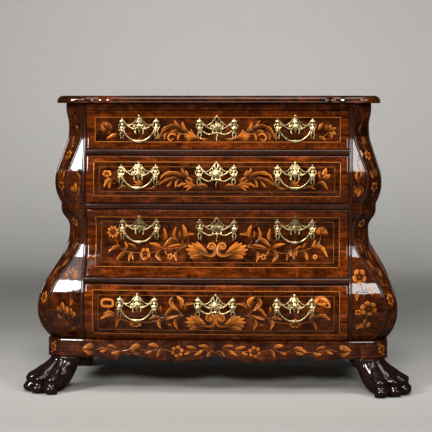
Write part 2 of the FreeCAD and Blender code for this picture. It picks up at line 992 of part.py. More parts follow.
def swag_plate(number, with_festoon):
    """The swag outline as a thin casting that lies on the curved front."""
    z = pivot_z(number)
    y = front_y(0, swell(z))
    flat = swag_face(with_festoon)
    blank = flat.extrude(Vector(0, 80, 0))
    blank.translate(Vector(0, y - 40, z))
    levels = bend_levels(z + plate_bottom, z + plate_top)
    clear = plate_gap + plate_facet_sag
    bends = [
        Vector(-post_spacing, plinth_front - swell(level) - clear, level) for level in levels
    ]
    outer = [point - Vector(0, plate_thickness, 0) for point in bends]
    sheet = prism(bends + outer[::-1], Vector(2 * post_spacing, 0, 0))
    return blank.common(sheet)


def pull_plate(number):
    plate = swag_plate(number, False)
    hole = shank_tool(number, shank_size + 2 * shank_clearance, -10, 5)
    for end in (-1, 1):
        tool = hole.copy()
        tool.translate(Vector(end * post_spacing / 2, 0, 0))
        plate = plate.cut(tool)
    return plate


def pull_post(number):
    """An eight-sided post with a cross bore for the bail, on a square shank that runs through."""
    z = pivot_z(number)
    y = front_y(0, swell(z))
    back = Vector(0, 1, 0)
    rise = max(swell(z + dz) - swell(z) for dz in (-post_flange_radius, post_flange_radius))
    flange = plate_gap + 2 * plate_facet_sag + plate_thickness + max(rise, 0) + seat_gap
    collar = flange + post_flange_thickness
    head = pivot_reach - post_head_length / 2
    tip = pivot_reach + post_head_length / 2
    spans = [(flange, collar, post_flange_radius), (head, tip, post_head_radius)]
    body = shank_tool(number, shank_size, -head - 1, front_back(number) - y + shank_tail)
    for near, far, flat in spans:
        body = body.fuse(octagon(Vector(0, y - near, z), flat, back * (near - far)))
    reach = 2 * post_head_radius
    bore_start = Vector(-reach, y - pivot_reach, z)
    bore = octagon(bore_start, bail_rod_radius + bail_running_clearance, Vector(2 * reach, 0, 0))
    return body.cut(bore)


def octagon(centre, flat, run):
    """An eight-sided bar along run; flat is the distance from its axis to each flat."""
    axis = Vector(run).normalize()
    across = Vector(0, 1, 0) if abs(axis.x) > 0.5 else Vector(1, 0, 0)
    radius = flat / math.cos(math.pi / 8)
    corners = ring_points(centre, across, axis.cross(across), radius, radius, 8)
    return prism(corners, run)


def bail(number):
    """A drop handle: one bent rod with a thick grip, its ends pinned in the post heads."""
    z = pivot_z(number)
    y = front_y(0, swell(z)) - pivot_reach
    side = Vector(0, 1, 0)
    arm_x = post_spacing / 2 - post_head_radius - bail_rod_radius - seat_gap
    left = [(-arm_x, 0), (-bail_elbow, -bail_elbow_drop), (-bail_grip_half, -bail_drop)]
    path = [Vector(x, y, z + dz) for x, dz in left]
    path += [Vector(-x, y, z + dz) for x, dz in reversed(left)]
    rings = []
    for i, point in enumerate(path):
        before = (point - path[max(i - 1, 0)]) or (path[1] - point)
        after = (path[min(i + 1, len(path) - 1)] - point) or before
        if before.Length < 0.1:
            before = after
        if after.Length < 0.1:
            after = before
        before.normalize()
        after.normalize()
        run = (before + after).normalize()
        widen = 1 / run.dot(after)
        across = run.cross(side)
        rings.append(
            ring_points(point, side, across, bail_rod_radius, bail_rod_radius * widen, 8)
        )
    pieces = [carved(rings)]
    pin_end = post_spacing / 2 + post_head_radius + bail_pin_end
    pin_start = arm_x - bail_rod_radius / 2
    for end in (-1, 1):
        pin = [
            ring_points(Vector(end * x, y, z), side, up, bail_rod_radius, bail_rod_radius, 8)
            for x in (pin_start, pin_end)
        ]
        pieces.append(carved(pin if end > 0 else pin[::-1]))
    grip = [
        ring_points(Vector(x, y, z - bail_drop), side, up, radius, radius, 8)
        for x, radius in (
            (-bail_grip_half, bail_rod_radius),
            (-bail_grip_half / 2, bail_grip_radius),
            (bail_grip_half / 2, bail_grip_radius),
            (bail_grip_half, bail_rod_radius),
        )
    ]
    pieces.append(carved(grip))
    return pieces[0].multiFuse(pieces[1:]).removeSplitter()


# ---------------------------------------------------------------- write every node
for side_name, flip in (("left", True), ("right", False)):
    for node, shape in (
        ("corner_post", corner_post()),
        ("side", case_side()),
        ("front_foot", front_foot()),
    ):
        save(node + "_" + side_name, [mirrored(shape) if flip else shape])
save("back_boards", back_boards())
save("top_board", [top_board()])
save("frieze_rail", [rail(frieze_low, frieze_height, 1)])
save("drawer_rails", [rail(opening_high[n], rail_height, n) for n in (2, 3, 4)])
save(
    "dust_boards",
    [
        dust_board(opening_low[n], dust_board_thickness, rail_back(opening_high[n + 1]))
        for n in (1, 2, 3)
    ],
)
save("carcass_bottom", [carcass_bottom()])
save("drawer_guides", [s for n in (1, 2, 3, 4) for s in pair(drawer_guide(n))])
save("drawer_stops", [s for n in (1, 2, 3, 4) for s in pair(drawer_stop(n))])
save("front_apron", [front_apron()])
save("side_aprons", pair(side_apron()))
save("rear_apron", [rear_apron()])
save("plinth_blocks", pair(plinth_block()))
save("rear_corner_blocks", pair(rear_block()))
save("rear_feet", pair(rear_foot()))

for number in (1, 2, 3, 4):
    name = "drawer_" + str(number) + "_"
    swelled = swell(pivot_z(number))
    save(name + "front", [drawer_front(number)])
    save(name + "linings", drawer_linings(number))
    save(name + "bottom", [drawer_panel(number)])
    save(name + "lock_case", [lock_case(number)])
    save(name + "lock_bolt", [lock_bolt(number)])
    save(name + "escutcheon", [swag_plate(number, True).cut(keyhole(number))])
    plate = pull_plate(number)
    save(name + "pull_plates", [along_bow(plate, s * pull_place, swelled) for s in (-1, 1)])
    save(name + "pull_posts", at_posts(pull_post(number), number))
    for side_name, side in (("left", -1), ("right", 1)):
        node = name + "bail_" + side_name
        save(node, [along_bow(bail(number), side * pull_place, swelled)])
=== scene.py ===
import json
import math

import bmesh
import bpy
import numpy as np
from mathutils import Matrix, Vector


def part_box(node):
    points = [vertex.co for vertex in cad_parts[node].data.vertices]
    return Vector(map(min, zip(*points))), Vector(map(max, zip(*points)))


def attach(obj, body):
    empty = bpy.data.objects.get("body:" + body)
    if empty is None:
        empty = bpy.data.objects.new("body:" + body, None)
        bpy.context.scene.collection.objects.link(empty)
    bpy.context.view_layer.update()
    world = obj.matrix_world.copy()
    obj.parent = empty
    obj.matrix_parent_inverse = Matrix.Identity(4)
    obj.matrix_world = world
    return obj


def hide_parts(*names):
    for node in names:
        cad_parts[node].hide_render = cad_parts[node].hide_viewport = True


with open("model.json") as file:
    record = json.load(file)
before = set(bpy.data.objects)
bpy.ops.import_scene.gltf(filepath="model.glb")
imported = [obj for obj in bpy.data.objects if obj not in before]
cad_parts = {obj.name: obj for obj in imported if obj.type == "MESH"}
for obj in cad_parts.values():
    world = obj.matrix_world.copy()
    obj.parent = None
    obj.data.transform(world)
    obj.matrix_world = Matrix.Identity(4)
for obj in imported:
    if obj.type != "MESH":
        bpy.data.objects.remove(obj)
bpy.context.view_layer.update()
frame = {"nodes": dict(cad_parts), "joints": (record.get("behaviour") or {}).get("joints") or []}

bl_info = {
    "name": "Bombe chest",
    "version": (1, 0, 0),
    "blender": (4, 5, 0),
    "location": "View3D > Sidebar > Chest",
    "description": "Veneers, marquetry, brass and carving for a bombe chest of drawers",
    "category": "Object",
}

# A bombe chest of four long drawers on lion's paw feet, dressed in walnut veneer, floral
# marquetry and cast brass. Metres; the front faces -Y. Every surface is a grid of two
# parameters. Places on a wall are (u, v): u across it and v its height above the floor.

mm = 0.001


# ---------------------------------------------------------------- sizes read from the frame
def low(node):
    """The lowest corner of a part of the frame."""
    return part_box(node)[0]


def high(node):
    """The highest corner of a part of the frame."""
    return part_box(node)[1]


drawers = (1, 2, 3, 4)
sides = (-1, 1)
side_names = {-1: "left", 1: "right"}
drawer_low = {n: low(f"drawer_{n}_front").z for n in drawers}
drawer_high = {n: high(f"drawer_{n}_front").z for n in drawers}
drawer_half = high("drawer_1_front").x
opening_half = high("front_apron").x
plinth_half = high("plinth_blocks").x
plinth_front = low("front_apron").y
plinth_low = low("plinth_blocks").z
plinth_top = high("plinth_blocks").z
case_top = high("side_right").z
case_back = high("back_boards").y
board_top = high("top_board").z
lower_bulge = high("side_right").x - plinth_half
hinges = {j["name"]: j for j in frame["joints"]}

# ---------------------------------------------------------------- sizes of the case's form
lower_waist = -53.5 * mm  # the swell, outwards from the face of the plinth
upper_bulge = -19.1 * mm
upper_waist = -53.0 * mm
frieze_swell = -47.0 * mm
lower_tuck_radius = 114.0 * mm
upper_tuck_radius = 113.0 * mm
lower_bulge_z = plinth_top + 81 * mm
drawer_gap = 1.6 * mm  # from a drawer's upper edge to the rail
ledge_low = drawer_high[3] + drawer_gap
ledge_high = drawer_low[2] - 1.0 * mm
lower_waist_high_z = ledge_low - 52 * mm
lower_waist_low_z = lower_waist_high_z - 3 * mm
upper_bulge_z = ledge_high + 56 * mm
frieze_low = case_top - 19 * mm
upper_waist_high_z = frieze_low - 41 * mm
upper_waist_low_z = upper_waist_high_z - 8 * mm
frieze_start_z = frieze_low + 5 * mm
ledge_swell = upper_bulge - upper_tuck_radius + math.sqrt(
    upper_tuck_radius**2 - (upper_bulge_z - ledge_high) ** 2
)
bow_radius = 4.5
bow_centre = plinth_front + bow_radius
stile_turn = math.tan(math.radians(7))
arris_at_waist = plinth_half + lower_waist - 39.5 * mm
diagonal = math.sqrt(0.5)
rail_height = 16 * mm
back_reveal = 0.4 * mm  # from the case's back edge to its veneer
post_place = 46.7  # of a pull's posts, in millimetres from its middle


def shade(red, green, blue):
    """A colour as it looks on a screen, 0 to 255, as the linear values that a shader takes."""
    return tuple((c / 255 / 12.92) if c < 11 else ((c / 255 + 0.055) / 1.055) ** 2.4
                 for c in (red, green, blue))


# ---------------------------------------------------------------- what a user may change
class ChestSizes(bpy.types.PropertyGroup):
    """Thicknesses and widths of the dressing."""

    veneer_lift: bpy.props.FloatProperty(
        name="Veneer lift", description="Height of the veneer's face over the carcass",
        default=0.35 * mm, unit="LENGTH")
    veneer_thickness: bpy.props.FloatProperty(
        name="Veneer thickness", description="Thickness of the veneer sheets",
        default=0.9 * mm, unit="LENGTH")
    inlay_lift: bpy.props.FloatProperty(
        name="Inlay lift", description="Height of the inlay's face over the carcass",
        default=0.5 * mm, unit="LENGTH")
    inlay_thickness: bpy.props.FloatProperty(
        name="Inlay thickness", description="Thickness of the inlaid pieces",
        default=0.35 * mm, unit="LENGTH")
    stringing_width: bpy.props.FloatProperty(
        name="Stringing width", description="Width of the broad line of stringing",
        default=2.0 * mm, unit="LENGTH")
    bead_width: bpy.props.FloatProperty(
        name="Bead width", description="Width of the beads beside the drawers",
        default=9.0 * mm, unit="LENGTH")
    thumb_depth: bpy.props.FloatProperty(
        name="Thumb depth", description="How far the top's moulding runs in from its edge",
        default=17.0 * mm, unit="LENGTH")


class ChestColours(bpy.types.PropertyGroup):
    """Colours of the woods and metals."""

    ground: bpy.props.FloatVectorProperty(
        name="Ground", description="Veneer of the fields", subtype="COLOR",
        default=shade(78, 34, 10))
    border: bpy.props.FloatVectorProperty(
        name="Border", description="Cross-banded veneer of the borders", subtype="COLOR",
        default=shade(120, 52, 12))
    inlay: bpy.props.FloatVectorProperty(
        name="Inlay", description="Flowers and leaves", subtype="COLOR",
        default=shade(212, 118, 42))
    moulding: bpy.props.FloatVectorProperty(
        name="Mouldings", description="Rails, beads and the edge of the top", subtype="COLOR",
        default=shade(58, 30, 18))
    paw: bpy.props.FloatVectorProperty(
        name="Paws", description="Carved feet", subtype="COLOR", default=shade(34, 18, 13))
    brass: bpy.props.FloatVectorProperty(
        name="Brass", description="Pulls and escutcheons", subtype="COLOR",
        default=shade(236, 208, 148))
    lining: bpy.props.FloatVectorProperty(
        name="Linings", description="Drawer linings and inner boards", subtype="COLOR",
        default=shade(156, 118, 76))
    iron: bpy.props.FloatVectorProperty(
        name="Iron", description="Locks and nails", subtype="COLOR", default=shade(92, 88, 84))
    floor: bpy.props.FloatVectorProperty(
        name="Floor", description="Floor and backdrop", subtype="COLOR",
        default=shade(196, 193, 187))


def sizes():
    """The sizes that the user has set."""
    return bpy.context.scene.chest_sizes


def colours():
    """The colours that the user has set."""
    return bpy.context.scene.chest_colours


# ---------------------------------------------------------------- the swell and the walls
def tuck(z, head, at_head, radius):
    """A circle of this radius, upright at its head: offset = at_head - radius + the root of
    radius squared less the depth below the head squared."""
    return at_head - radius + np.sqrt(np.maximum(radius**2 - (head - z) ** 2, 0))


def s_curve(z, foot, head, at_foot, at_head, steepness):
    """Two equal arcs, upright at the ends, joined by a straight that touches both."""
    rise = head - foot
    run = abs(at_head - at_foot)
    slope = steepness * run / rise
    lean = math.atan(slope)
    radius = (rise * slope - run) / (2 / math.cos(lean) - 2)
    arc_rise = radius * math.sin(lean)
    arc_run = radius * (1 - math.cos(lean))
    t = np.clip(z - foot, 0, rise)
    lower = radius - np.sqrt(np.maximum(radius**2 - t**2, 0))
    upper = run - radius + np.sqrt(np.maximum(radius**2 - (rise - t) ** 2, 0))
    middle = arc_run + (t - arc_rise) * slope
    part = np.where(t < arc_rise, lower, np.where(t > rise - arc_rise, upper, middle))
    return at_foot + math.copysign(1, at_head - at_foot) * part


def swell(z):
    """How far the case stands outside the plinth at height z, from the plinth to the top."""
    z = np.asarray(z, float)
    heads = [lower_bulge_z, lower_waist_low_z, lower_waist_high_z, ledge_low, ledge_high,
             upper_bulge_z, upper_waist_low_z, upper_waist_high_z, frieze_start_z]
    flat = np.zeros_like(z)
    spans = [
        tuck(z, lower_bulge_z, lower_bulge, lower_tuck_radius),
        s_curve(z, lower_bulge_z, lower_waist_low_z, lower_bulge, lower_waist, steepness=1.66),
        flat + lower_waist,
        s_curve(z, lower_waist_high_z, ledge_low, lower_waist, ledge_swell, steepness=1.78),
        flat + ledge_swell,
        tuck(z, upper_bulge_z, upper_bulge, upper_tuck_radius),
        s_curve(z, upper_bulge_z, upper_waist_low_z, upper_bulge, upper_waist, steepness=1.4),
        flat + upper_waist,
        s_curve(z, upper_waist_high_z, frieze_start_z, upper_waist, frieze_swell, steepness=1.63),
    ]
    return np.select([z <= head for head in heads], spans, flat + frieze_swell)


def lifted(z, lift, stretch=1.0):
    """Swell and height of a point moved out from the swell along its normal. A wall whose
    offset is stretch times the swell leans stretch times as much."""
    step = 0.2 * mm
    slope = stretch * (swell(z + step) - swell(z - step)) / (2 * step)
    length = np.sqrt(1 + slope**2)
    return swell(z) + lift / (length * stretch), z - lift * slope / length


def bow_y(x, swelled):
    """The bowed front in plan: an arc about an axis behind the chest."""
    return bow_centre - np.sqrt((bow_radius + swelled) ** 2 - x**2)


def stacked(x, y, z):
    """Points from their coordinates, brought to one shape."""
    return np.stack(np.broadcast_arrays(x, y, z), -1)


def front_wall(u, v, lift=0.0):
    """The drawer fronts: bowed in plan, swelling with height."""
    swelled, z = lifted(v, lift)
    return stacked(u, bow_y(u, swelled), z)


def apron_wall(u, v, lift=0.0):
    """The plinth's front: bowed in plan and upright."""
    return stacked(u, bow_y(u, lift), v)


def arris_x(swelled):
    """Where the stile meets the canted corner. The corner's face moves out by the swell in x
    and in y, and its edge on the turned stile moves a little further in x."""
    return arris_at_waist + (swelled - lower_waist) / (1 - stile_turn)


def arris_y(swelled):
    """The arris in y, on the line of the stile's face."""
    return bow_y(opening_half, swelled) + stile_turn * (arris_x(swelled) - opening_half)


def corner_x(swelled):
    """Where the canted corner meets the side."""
    return plinth_half + swelled


def corner_y(swelled):
    """The same in y, as far behind the arris as it is outside it."""
    return arris_y(swelled) + corner_x(swelled) - arris_x(swelled)


def on_side(side, points):
    """Points of the right side, turned over for the left."""
    return points * np.array([side, 1, 1])


def stile_wall(side):
    """The face beside the drawers, turned seven degrees; u is the distance from the middle."""

    def wall(u, v, lift=0.0):
        swelled, z = lifted(v, lift)
        y = bow_y(opening_half, swelled) + stile_turn * (u - opening_half)
        return on_side(side, stacked(u, y, z))

    return wall


def ribbon_wall(side):
    """The canted corner; u is the distance from its middle line towards the side."""

    def wall(u, v, lift=0.0):
        swelled, z = lifted(v, lift, 1 / diagonal)
        x = (arris_x(swelled) + corner_x(swelled)) / 2 + u * diagonal
        return on_side(side, stacked(x, arris_y(swelled) + x - arris_x(swelled), z))

    return wall


def side_wall(side):
    """The side of the case; u is the distance from the middle of the chest to the back."""

    def wall(u, v, lift=0.0):
        swelled, z = lifted(v, lift)
        return on_side(side, stacked(plinth_half + swelled, u, z))

    return wall


# ---------------------------------------------------------------- grids into meshes
def through(knots, count):
    """A smooth line through knots: a cubic in each span, its slopes from the neighbours."""
    knots = np.asarray(knots, float)
    t = np.linspace(0, len(knots) - 1, count)
    i = np.minimum(t.astype(int), len(knots) - 2)
    f = (t - i)[:, None]
    padded = np.vstack([2 * knots[0] - knots[1], knots, 2 * knots[-1] - knots[-2]])
    a, b, c, d = padded[i], padded[i + 1], padded[i + 2], padded[i + 3]
    cubic = 2 * b + (c - a) * f + (2 * a - 5 * b + 4 * c - d) * f**2
    return (cubic + (3 * b - a - 3 * c + d) * f**3) / 2


def ring_angles(count):
    """Even steps round a circle, without the last, which is the first."""
    return np.linspace(0, 2 * math.pi, count, endpoint=False)


def cells(rows, columns, wrap):
    """Corner numbers of a grid's cells; a wrapped grid closes from its last column on."""
    i = np.arange(rows - 1)[:, None]
    j = np.arange(columns if wrap else columns - 1)[None, :]
    k = (j + 1) % columns
    corners = [i * columns + j, (i + 1) * columns + j, (i + 1) * columns + k, i * columns + k]
    return np.stack(np.broadcast_arrays(*corners), -1).reshape(-1, 4)


class Patch:
    """A grid of points, rows by columns, with values of its own such as the inlay's tone.
    keep says which of its cells have a face."""

    def __init__(self, points, wrap=False, flip=False, keep=None, **values):
        self.points = np.asarray(points, float)
        rows, columns = self.points.shape[:2]
        faces = cells(rows, columns, wrap)
        if keep is not None:
            faces = faces[keep.reshape(-1)]
        self.faces = faces[:, ::-1] if flip else faces
        self.values = values


def piece(name, patches, body, material, close=False, smooth=True, sharp=None):
    """One object from many grids. close merges the doubled points at seams and poles, and
    edges that turn by more than sharp degrees stay sharp."""
    mesh = bpy.data.meshes.new(name)
    points = np.concatenate([p.points.reshape(-1, 3) for p in patches])
    starts = np.cumsum([0] + [p.points.shape[0] * p.points.shape[1] for p in patches[:-1]])
    faces = np.concatenate([p.faces + s for p, s in zip(patches, starts)])
    mesh.vertices.add(len(points))
    mesh.vertices.foreach_set("co", points.astype(np.float32).ravel())
    mesh.loops.add(faces.size)
    mesh.loops.foreach_set("vertex_index", faces.astype(np.int32).ravel())
    mesh.polygons.add(len(faces))
    mesh.polygons.foreach_set("loop_start", np.arange(0, faces.size, 4, dtype=np.int32))
    mesh.update(calc_edges=True)
    for key in patches[0].values:
        values = [np.broadcast_to(p.values[key], p.points.shape[:2]).ravel() for p in patches]
        layer = mesh.attributes.new(key, "FLOAT", "POINT")
        layer.data.foreach_set("value", np.concatenate(values).astype(np.float32))
    if close:
        merge_doubles(mesh)
    mesh.polygons.foreach_set("use_smooth", np.full(len(mesh.polygons), smooth))
    if sharp:
        mesh.set_sharp_from_angle(angle=math.radians(sharp))
    obj = bpy.data.objects.new(name, mesh)
    bpy.context.scene.collection.objects.link(obj)
    mesh.materials.append(material)
    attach(obj, body)
    return obj


def merge_doubles(mesh):
    """Joins points that coincide and takes out the faces without area that this leaves."""
    nearest = 0.002 * mm
    shell = bmesh.new()
    shell.from_mesh(mesh)
    bmesh.ops.remove_doubles(shell, verts=shell.verts, dist=nearest)
    bmesh.ops.dissolve_degenerate(shell, edges=shell.edges, dist=nearest)
    shell.to_mesh(mesh)
    shell.free()


def thicken(obj, thickness):
    """Gives an open sheet its thickness, inwards from its face."""
    wall = obj.modifiers.new("Thickness", "SOLIDIFY")
    wall.thickness = thickness
    wall.offset = -1
    return obj


# ---------------------------------------------------------------- finishes
class Finish:
    """A material under construction. Inputs are named with _ for a space; each takes a
    number, a colour or another node's output."""

    def __init__(self, name):
        self.material = bpy.data.materials.new(name)
        self.material.use_nodes = True
        self.nodes = self.material.node_tree.nodes
        self.links = self.material.node_tree.links
        self.shader = self.nodes["Principled BSDF"]
        self.place = self.add("ShaderNodeTexCoord").outputs["Object"]

    def add(self, kind, settings=None, **inputs):
        node = self.nodes.new(kind)
        for key, value in (settings or {}).items():
            setattr(node, key, value)
        for key, value in inputs.items():
            self.put(node.inputs[key.replace("_", " ")], value)
        return node

    def put(self, socket, value):
        if isinstance(value, bpy.types.NodeSocket):
            self.links.new(value, socket)
        elif socket.type == "RGBA":
            socket.default_value = (*value[:3], 1)
        else:
            socket.default_value = value

    def set(self, **inputs):
        for key, value in inputs.items():
            self.put(self.shader.inputs[key.replace("_", " ")], value)

    def stretched(self, *scale):
        """The piece's own coordinates, scaled along x, y and z."""
        return self.add("ShaderNodeMapping", Vector=self.place, Scale=scale).outputs["Vector"]

    def noise(self, vector, scale=1.0, detail=5.0, roughness=0.6, distortion=0.0):
        return self.add("ShaderNodeTexNoise", Vector=vector, Scale=scale, Detail=detail,
                        Roughness=roughness, Distortion=distortion).outputs["Fac"]

    def attribute(self, name):
        node = self.add("ShaderNodeAttribute", {"attribute_name": name})
        return node.outputs["Fac"]

    def math(self, operation, *values):
        node = self.add("ShaderNodeMath", {"operation": operation})
        for socket, value in zip(node.inputs, values):
            self.put(socket, value)
        return node.outputs[0]

    def weighed(self, a, share, b, other_share):
        """a times its share, plus b times the other."""
        return self.math("MULTIPLY_ADD", a, share, self.math("MULTIPLY", b, other_share))

    def mixed(self, factor, a, b, blend="MIX"):
        node = self.add("ShaderNodeMix", {"data_type": "RGBA", "blend_type": blend})
        factor_socket, colour_a, colour_b, colour_out = 0, 6, 7, 2
        self.put(node.inputs[factor_socket], factor)
        self.put(node.inputs[colour_a], a)
        self.put(node.inputs[colour_b], b)
        return node.outputs[colour_out]

    def ramp(self, factor, stops):
        node = self.add("ShaderNodeValToRGB", Fac=factor)
        elements = node.color_ramp.elements
        while len(elements) < len(stops):
            elements.new(0.5)
        for element, (position, colour) in zip(elements, stops):
            element.position = position
            element.color = (*colour, 1)
        return node.outputs["Color"]

    def relief(self, height, distance, under=None):
        """A bump this high, laid over another one."""
        node = self.add("ShaderNodeBump", Height=height, Distance=distance, Strength=1.0)
        if under is not None:
            self.put(node.inputs["Normal"], under)
        return node.outputs["Normal"]


def times(colour, factor):
    """A colour made lighter or darker, at most white."""
    return tuple(min(c * factor, 1.0) for c in colour)


def figured_veneer(name, coat, dullness):
    """Walnut veneer under a hand-rubbed polish. A piece's border value, in millimetres
    outside its stringing, turns the field's wood into cross-banding; its mitre value tells
    the ends, where the banding's grain lies level, from the long edges."""
    c = colours()
    f = Finish(name)
    level = f.noise(f.stretched(7, 7, 190), detail=7, roughness=0.65, distortion=0.35)
    upright = f.noise(f.stretched(170, 170, 8), detail=7, roughness=0.65, distortion=0.3)
    cloud = f.noise(f.place, scale=19, detail=5, roughness=0.6, distortion=1.6)
    blotch = f.noise(f.stretched(15, 15, 46), detail=6, roughness=0.68, distortion=1.1)
    broad = f.noise(f.place, scale=5, detail=2)
    border = f.math("GREATER_THAN", f.attribute("border"), 0.001)
    at_end = f.math("GREATER_THAN", f.attribute("mitre"), 0.0)
    cross = f.mixed(at_end, upright, level)
    field_tone = f.weighed(level, 0.43, cloud, 0.69)
    border_tone = f.weighed(cross, 0.36, blotch, 0.7)
    ground, band = tuple(c.ground), tuple(c.border)
    field = f.ramp(field_tone, [(0.42, times(ground, 0.2)), (0.53, times(ground, 0.6)),
                                (0.62, times(ground, 1.2)), (0.73, times(ground, 3.0))])
    edge = f.ramp(border_tone, [(0.4, times(band, 0.15)), (0.5, times(band, 0.42)),
                                (0.59, band), (0.7, times(band, 2.4))])
    colour = f.mixed(border, field, edge)
    aged = f.ramp(broad, [(0.35, (0.62, 0.6, 0.6)), (0.65, (1, 1, 1))])
    colour = f.mixed(1.0, colour, aged, "MULTIPLY")
    waves = f.relief(f.noise(f.place, scale=26, detail=1.5), 0.5 * mm)
    pores = f.relief(f.mixed(border, level, cross), 0.06 * mm, under=waves)
    f.set(Base_Color=colour, Roughness=0.6, Specular_IOR_Level=0.0, Coat_Weight=coat,
          Coat_Roughness=dullness, Normal=pores, Coat_Normal=waves)
    return f.material


def inlay_wood():
    """Fruitwoods of the flowers; each piece's tone runs from scorched to pale."""
    colour = tuple(colours().inlay)
    f = Finish("inlay_wood")
    grain = f.noise(f.stretched(60, 60, 240), detail=5, roughness=0.6, distortion=0.4)
    spots = f.noise(f.place, scale=45, detail=3)
    worn = f.weighed(grain, 0.34, spots, 0.3)
    tone = f.math("ADD", f.attribute("tone"), f.math("SUBTRACT", worn, 0.33))
    wood = f.ramp(tone, [(0.1, times(colour, 0.06)), (0.34, times(colour, 0.22)),
                         (0.66, times(colour, 0.8)), (0.96, times(colour, 1.6))])
    waves = f.relief(f.noise(f.place, scale=26, detail=1.5), 0.5 * mm)
    f.set(Base_Color=wood, Roughness=0.6, Specular_IOR_Level=0.0, Coat_Weight=0.75,
          Coat_Roughness=0.06, Normal=f.relief(grain, 0.05 * mm, under=waves),
          Coat_Normal=waves)
    return f.material


def dark_polish(name, colour, grain_scale, figure):
    """Solid dark walnut, waxed and rubbed: streaks run along grain_scale's least direction,
    and figure is their share of the tone beside the clouds'."""
    f = Finish(name)
    streaks = f.noise(f.stretched(*grain_scale), detail=6, roughness=0.62, distortion=0.3)
    cloud = f.noise(f.place, scale=9, detail=3, distortion=0.6)
    tone = f.weighed(streaks, figure, cloud, 1 - figure)
    wood = f.ramp(tone, [(0.34, times(colour, 0.4)), (0.5, times(colour, 0.95)),
                         (0.68, times(colour, 2.0))])
    waves = f.relief(f.noise(f.place, scale=30, detail=2), 0.4 * mm)
    f.set(Base_Color=wood, Roughness=0.5, Specular_IOR_Level=0.02, Coat_Weight=0.8,
          Coat_Roughness=0.1, Normal=f.relief(streaks, 0.06 * mm, under=waves),
          Coat_Normal=waves)
    return f.material


def cast_brass():
    """Pale lacquered brass, darker where it has tarnished."""
    colour = tuple(colours().brass)
    f = Finish("cast_brass")
    tarnish = f.noise(f.place, scale=90, detail=4, roughness=0.65)
    fine = f.noise(f.place, scale=700, detail=3)
    metal = f.ramp(tarnish, [(0.38, times(colour, 0.22)), (0.5, times(colour, 0.7)),
                             (0.62, colour)])
    rough = f.ramp(tarnish, [(0.3, (0.48,) * 3), (0.7, (0.25,) * 3)])
    f.set(Base_Color=metal, Metallic=0.84, Roughness=rough,
          Normal=f.relief(fine, 0.08 * mm))
    return f.material


def bare_wood(name, colour, grain_scale):
    """Unpolished oak: pale, dry and streaked, soiled in broad patches."""
    f = Finish(name)
    streaks = f.noise(f.stretched(*grain_scale), detail=8, roughness=0.7, distortion=0.25)
    dirt = f.noise(f.place, scale=6, detail=4)
    wood = f.ramp(streaks, [(0.3, times(colour, 0.5)), (0.5, times(colour, 0.9)),
                            (0.7, times(colour, 1.25))])
    soiled = f.ramp(dirt, [(0.32, (0.6, 0.57, 0.55)), (0.6, (1, 1, 1))])
    f.set(Base_Color=f.mixed(1.0, wood, soiled, "MULTIPLY"), Roughness=0.72,
          Normal=f.relief(streaks, 0.15 * mm))
    return f.material


def dark_iron():
    """Forged iron with a dull skin and a little rust."""
    colour = tuple(colours().iron)
    f = Finish("dark_iron")
    scale = f.noise(f.place, scale=120, detail=5, roughness=0.7)
    rust = f.noise(f.place, scale=34, detail=4)
    metal = f.ramp(scale, [(0.35, times(colour, 0.35)), (0.65, colour)])
    rusted = f.ramp(rust, [(0.5, (1, 1, 1)), (0.72, (0.62, 0.34, 0.2))])
    f.set(Base_Color=f.mixed(1.0, metal, rusted, "MULTIPLY"), Metallic=0.85, Roughness=0.5,
          Normal=f.relief(scale, 0.15 * mm))
    return f.material


finishes = {}


def finish(name):
    """The materials, each made when it is first asked for."""
    if name not in finishes:
        c = colours()
        makers = {
            "veneer": lambda: figured_veneer("figured_veneer", 0.85, 0.05),
            "top": lambda: figured_veneer("rubbed_top_veneer", 0.5, 0.24),
            "inlay": inlay_wood,
            "moulding": lambda: dark_polish("moulding_wood", tuple(c.moulding),
                                            (5, 60, 160), 0.6),
            "upright": lambda: dark_polish("upright_moulding_wood", tuple(c.moulding),
                                           (150, 150, 6), 0.6),
            "paw": lambda: dark_polish("paw_wood", tuple(c.paw), (60, 60, 24), 0.5),
            "brass": cast_brass,
            "oak_along": lambda: bare_wood("oak_along_x", tuple(c.lining), (5, 90, 120)),
            "oak_deep": lambda: bare_wood("oak_along_y", tuple(c.lining), (120, 5, 90)),
            "oak_upright": lambda: bare_wood("oak_upright", tuple(c.lining), (90, 120, 5)),
            "iron": dark_iron,
        }
        finishes[name] = makers[name]()
    return finishes[name]


# ---------------------------------------------------------------- veneers
def veneer_sheet(name, patches, body):
    """A sheet of polished walnut veneer with its thickness."""
    sheet = piece(name, patches, body, finish("veneer"))
    return thicken(sheet, sizes().veneer_thickness)


def wall_patch(wall, u, v, lift, flip=False, border=0.0, mitre=0.0, keep=None):
    """A patch of wall over every u and v; u may change with height."""
    v = np.asarray(v)[None, :]
    u = np.asarray(u)
    u = u[:, None] if u.ndim == 1 else u
    return Patch(wall(u, v, lift), flip=flip, border=border, mitre=mitre, keep=keep)


def banding(u_gap, v_gap):
    """Millimetres outside a rectangle of stringing, from the distances past its upright and
    its level lines, and by how much the upright one is further."""
    return np.maximum(u_gap, v_gap) / mm, (u_gap - v_gap) / mm


